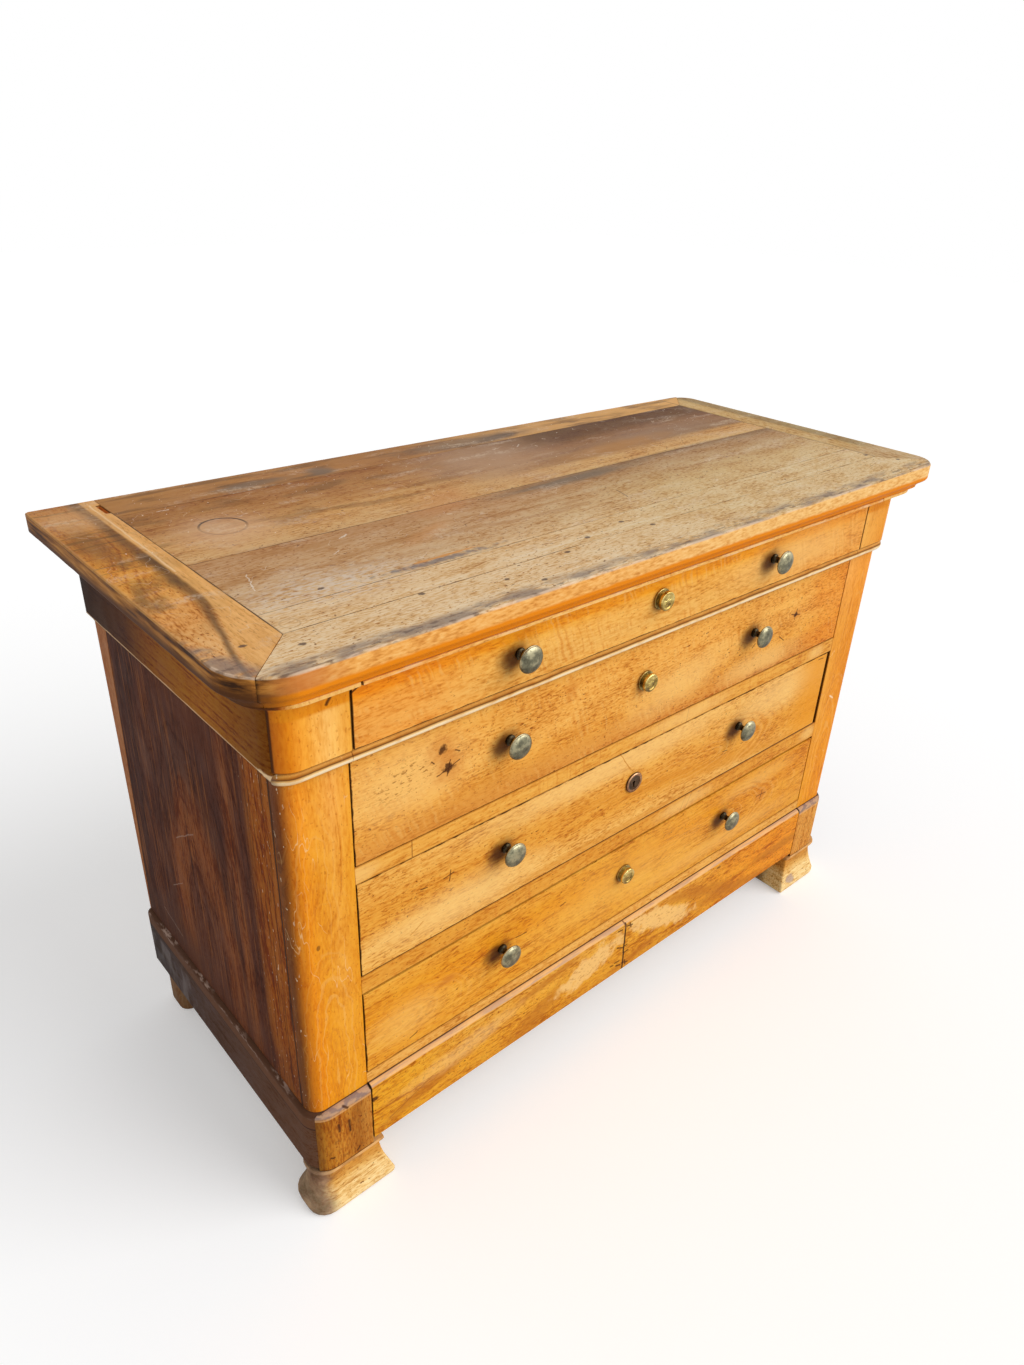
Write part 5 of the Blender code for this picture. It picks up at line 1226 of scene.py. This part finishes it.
def close_mitre(work):
    """Brings the slanting joint faces together below the surface."""
    work.normal_update()
    moves = {}
    for face in work.faces:
        if slanting(face) and face.calc_area() > 0.0004:
            for vert in face.verts:
                if vert.co.z < TOP - 0.003:
                    moves[vert] = face.normal * 0.00013
    for vert, move in moves.items():
        vert.co += move


def refine(node, material, edge, segments, rim=None, wear=None, chosen=None, recess=None):
    """Replaces a node with a copy whose edges are eased and worn."""
    work = welded(node)
    if rim:
        width, steps, on_rim = rim
        ease(work, width, steps, on_rim)
    ease(work, edge, segments, chosen, sharp=50)
    if chosen:
        close_mitre(work)
    if recess:
        sink(work, *recess)
    if wear:
        axis, step, depth, size = wear
        slice_along(work, axis, step)
        weather(work, depth, size)
    stand_in(work, node, material)


def outer_rim(edge):
    """The upper arris of the nosing, where the top meets an outer wall."""
    if any(abs(v.co.z - TOP) > 0.0002 for v in edge.verts):
        return False
    for face in edge.link_faces:
        low = min(v.co.z for v in face.verts)
        if abs(face.normal.z) < 0.1 and abs(low - (TOP - NOSING)) < 0.0006:
            return True
    return False


def lathe(profile, place):
    """A turned piece about an axis that points to the front; profile is (radius, distance) points."""
    work = bmesh.new()
    rings = []
    for radius, distance in profile:
        if radius < 0.00001:
            rings.append([work.verts.new((place[0], place[1] - distance, place[2]))])
            continue
        ring = []
        for i in range(TURN_STEPS):
            angle = 2 * pi * i / TURN_STEPS
            spot = (place[0] + radius * cos(angle), place[1] - distance, place[2] + radius * sin(angle))
            ring.append(work.verts.new(spot))
        rings.append(ring)
    for first, second in zip(rings, rings[1:]):
        for i in range(TURN_STEPS):
            j = (i + 1) % TURN_STEPS
            corners = [
                ring[k % len(ring)] for ring, k in ((first, i), (first, j), (second, j), (second, i))
            ]
            work.faces.new(list(dict.fromkeys(corners)))
    bmesh.ops.recalc_face_normals(work, faces=work.faces)
    return work


def knob_profile():
    """A cast knob: round foot, thin stem, hollow underside and a low dome with a crisp rim."""
    radius, rim = 0.018, 0.02
    dome = [
        (radius * 0.955 * sin(a), rim + 0.0016 + 0.0049 * cos(a)) for a in map(radians, range(0, 91, 9))
    ]
    return [
        *dome, (radius * 0.985, rim + 0.0013), (radius, rim + 0.0006), (radius * 0.992, rim - 0.0004),
        (radius * 0.96, rim - 0.001), (radius * 0.8, rim - 0.002), (radius * 0.52, rim - 0.0034),
        (0.0062, rim - 0.0055), (0.0048, rim - 0.0085), (0.0045, 0.0085), (0.005, 0.0055), (0.0062, 0.0042),
        (0.0073, 0.0034), (0.0075, 0.0024), (0.0074, 0.0004), (0.0025, 0.0004), (0.0025, -0.014),
        (0, -0.0158),
    ]


def boss_profile():
    """A round boss: a dished rosette inside a raised rim, on a flat ring."""
    return [
        (0, 0.0118), (0.0012, 0.0119), (0.0022, 0.0115), (0.0034, 0.0112), (0.005, 0.0112),
        (0.0066, 0.0113), (0.008, 0.0112), (0.009, 0.011), (0.0096, 0.0112), (0.0104, 0.0121),
        (0.0112, 0.0125), (0.0122, 0.0125), (0.0131, 0.0121), (0.01365, 0.0112), (0.0137, 0.0085),
        (0.0135, 0.0074), (0.0128, 0.0064), (0.0117, 0.0056), (0.0115, 0.0048), (0.0116, 0.0033),
        (0.0122, 0.003), (0.014, 0.0029), (0.0148, 0.0024), (0.015, 0.0016), (0.015, 0.0004), (0, 0.0004),
    ]


def turned_piece(node, profile, place, material, petals=0):
    """A turned fitting; petals raises that many leaves in the dish of a boss."""
    work = lathe(profile, place)
    if petals:
        for vert in work.verts:
            across, up = vert.co.x - place[0], vert.co.z - place[2]
            radius = (across * across + up * up) ** 0.5
            if 0.0015 < radius < 0.0092 and place[1] - vert.co.y > 0.01:
                vert.co.y -= 0.00035 * cos(petals * atan2(up, across)) * sin(pi * (radius - 0.001) / 0.0084)
    stand_in(work, node, material)


# Which node gets which shape and paint

def dress_top():
    rim = (0.0034, 4, outer_rim)
    notch = ((-0.544, 0.228), (-0.5382, 0.267), 0.007)
    refine("top_front_rail", front_rail_material(), 0.0003, 1, rim, (0, 0.011, 0.0011, 0.02), off_mitre)
    refine("top_left_end", left_end_material(), 0.0003, 1, rim, (1, 0.011, 0.0011, 0.02), off_mitre, notch)
    refine("top_right_end", right_end_material(), 0.0003, 1, rim, (1, 0.011, 0.0009, 0.02), off_mitre)
    refine("top_back_rail", back_rail_material(), 0.0003, 1)
    for word, seed in (("front", 3), ("middle", 5), ("back", 7)):
        refine(f"top_board_{word}", field_material(f"top_board_{word}", seed), 0.0003, 1)


def dress_front():
    foot = foot_material()
    refine("drawer_1_front", drawer_1_material(), 0.0007, 2)
    for number, material in ((2, drawer_2_material), (3, drawer_3_material), (4, drawer_4_material)):
        refine(f"drawer_{number}_front", material(), 0.001, 2, None, (0, 0.02, 0.0004, 0.02))
    refine("plinth_drawer_front", plinth_front_material(), 0.0008, 2)
    heights = ((0.708, 0.727), (0.5347, 0.5606), (0.3576, 0.3876), (0.1938, 0.2135))
    for number, (bottom, top) in enumerate(heights, 1):
        refine(f"shelf_{number}", shelf_material(number, bottom, top), 0.0006, 1)
    for side, word in SIDES:
        refine(f"front_stile_{word}", stile_material(side), 0.0006, 1)
        refine(f"frieze_block_{word}", frieze_block_material(side), 0.0007, 2)
        refine(f"plinth_block_{word}", plinth_block_material(side), 0.0008, 2)
        refine(f"foot_front_{word}", foot, 0.0006, 1)


def dress_sides():
    panel = side_panel_material()
    frieze = frieze_side_material()
    plinth = plinth_side_material()
    post = back_post_material()
    rough_foot = plain_wood("back_foot", 131, "z", "x", (0.24, 0.12, 0.05))
    for word in ("left", "right"):
        refine(f"side_panel_{word}", panel, 0.0006, 1)
        refine(f"frieze_side_{word}", frieze, 0.0007, 2)
        refine(f"plinth_side_{word}", plinth, 0.001, 2)
        refine(f"back_stile_{word}", post, 0.0008, 1)
        refine(f"foot_back_{word}", rough_foot, 0.003, 3)


def repaint(node, material):
    piece = frame["nodes"][node]
    piece.data.materials.clear()
    piece.data.materials.append(material)


def dress_inside():
    """Boxes, bottoms, runners and the back keep their shapes and get their own woods."""
    along_x = plain_wood("inside_bottom", 137, "x", "y", (0.5, 0.33, 0.17))
    boxes = plain_wood("inside_box", 139, "y", "z", (0.48, 0.31, 0.155))
    runner = plain_wood("runner", 141, "y", "x", (0.3, 0.18, 0.09))
    back = plain_wood("back_board", 149, "x", "z", (0.3, 0.2, 0.11), 1, 0.7)
    for name in ("drawer_1", "drawer_2", "drawer_3", "drawer_4", "plinth_drawer"):
        repaint(name + "_box", boxes)
        repaint(name + "_bottom", along_x)
    for name in ("plinth_runner_left", "plinth_runner_right"):
        repaint(name, runner)
    for name in ("back_panel", "back_top_rail"):
        repaint(name, back)


def dress_fittings():
    brass = brass_material("knob_brass", 3, (
        (0.085, 0.08, 0.05), (0.17, 0.16, 0.105), (0.25, 0.235, 0.15), (0.44, 0.4, 0.25),
    ), 0.24)
    boss = brass_material("boss_brass", 9, (
        (0.13, 0.075, 0.022), (0.36, 0.24, 0.065), (0.58, 0.42, 0.12), (0.84, 0.66, 0.24),
    ), 0.2, 0.45)
    copper = brass_material("key_plate_brass", 15, (
        (0.12, 0.055, 0.028), (0.26, 0.12, 0.058), (0.4, 0.2, 0.1), (0.6, 0.34, 0.18),
    ), 0.25, 0.8)
    for number, (z, boss_z) in enumerate(zip(KNOB_HEIGHTS, BOSS_HEIGHTS), 1):
        face = FRIEZE_FACE if number == 1 else BODY_FACE
        for side, word in SIDES:
            place = (FITTING_SHIFT + side * KNOB_OFFSET, face, z)
            turned_piece(f"knob_{number}_{word}", knob_profile(), place, brass)
        if number == 3:
            refine("escutcheon_3", copper, 0.0003, 2)
        else:
            turned_piece(f"escutcheon_{number}", boss_profile(), (FITTING_SHIFT, face, boss_z), boss, 8)


dress_top()
dress_front()
dress_sides()
dress_inside()
dress_fittings()


# Camera, light and floor

camera_data = bpy.data.cameras.new("camera")
camera_data.lens = CAMERA_LENS
camera_data.sensor_width = 36
camera_data.clip_end = 60
camera = bpy.data.objects.new("camera", camera_data)
bpy.context.scene.collection.objects.link(camera)
camera.matrix_world = Matrix.Translation(CAMERA_PLACE) @ Matrix(CAMERA_AXES).transposed().to_4x4()
bpy.context.scene.camera = camera

sun_data = bpy.data.lights.new("key", "SUN")
sun_data.energy = SUN_STRENGTH
sun_data.angle = radians(SUN_SPREAD)
sun = bpy.data.objects.new("key", sun_data)
bpy.context.scene.collection.objects.link(sun)
sun.rotation_euler = Vector(SUN_SIDE).to_track_quat("Z", "Y").to_euler()

world = bpy.data.worlds.new("studio")
bpy.context.scene.world = world
world.use_nodes = True
tree = world.node_tree
sky = tree.nodes["Background"]
plug(sky.inputs["Color"], WHITE)
plug(sky.inputs["Strength"], SKY_STRENGTH)
screen = add_node(tree, "Background", {"Color": WHITE, "Strength": 1})
rays = add_node(tree, "LightPath", {}).outputs
clear = add_node(
    tree, "Math", {0: rays["Is Glossy Ray"], 1: rays["Is Transmission Ray"]}, operation="MAXIMUM",
)
seen = add_node(tree, "Math", {0: rays["Is Camera Ray"], 1: clear.outputs[0]}, operation="MAXIMUM")
shown = add_node(tree, "MixShader", {"Fac": seen.outputs[0], 1: sky.outputs[0], 2: screen.outputs[0]})
plug(tree.nodes["World Output"].inputs["Surface"], shown.outputs[0])

floor_mesh = bpy.data.meshes.new("floor")
corners = [(x * FLOOR_REACH, y * FLOOR_REACH, 0) for x, y in ((-1, -1), (1, -1), (1, 1), (-1, 1))]
floor_mesh.from_pydata(corners, [], [(0, 1, 2, 3)])
floor = bpy.data.objects.new("floor", floor_mesh)
bpy.context.scene.collection.objects.link(floor)
floor_material = bpy.data.materials.new("floor")
floor_material.use_nodes = True
tree = floor_material.node_tree
shader = tree.nodes["Principled BSDF"]
for name, value in (("Base Color", FLOOR_TONE), ("Roughness", 0.9), ("Specular IOR Level", 0)):
    plug(shader.inputs[name], value)
dark = add_node(tree, "Emission", {"Strength": 0}).outputs[0]
glow = add_node(tree, "Emission", {"Strength": FLOOR_GLOW}).outputs[0]
rays = add_node(tree, "LightPath", {}).outputs
lift = add_node(tree, "MixShader", {"Fac": rays["Is Camera Ray"], 1: dark, 2: glow}).outputs[0]
total = add_node(tree, "AddShader", {0: shader.outputs[0], 1: lift}).outputs[0]
plug(tree.nodes["Material Output"].inputs["Surface"], total)
floor_mesh.materials.append(floor_material)

bpy.context.scene.view_settings.view_transform = "Standard"
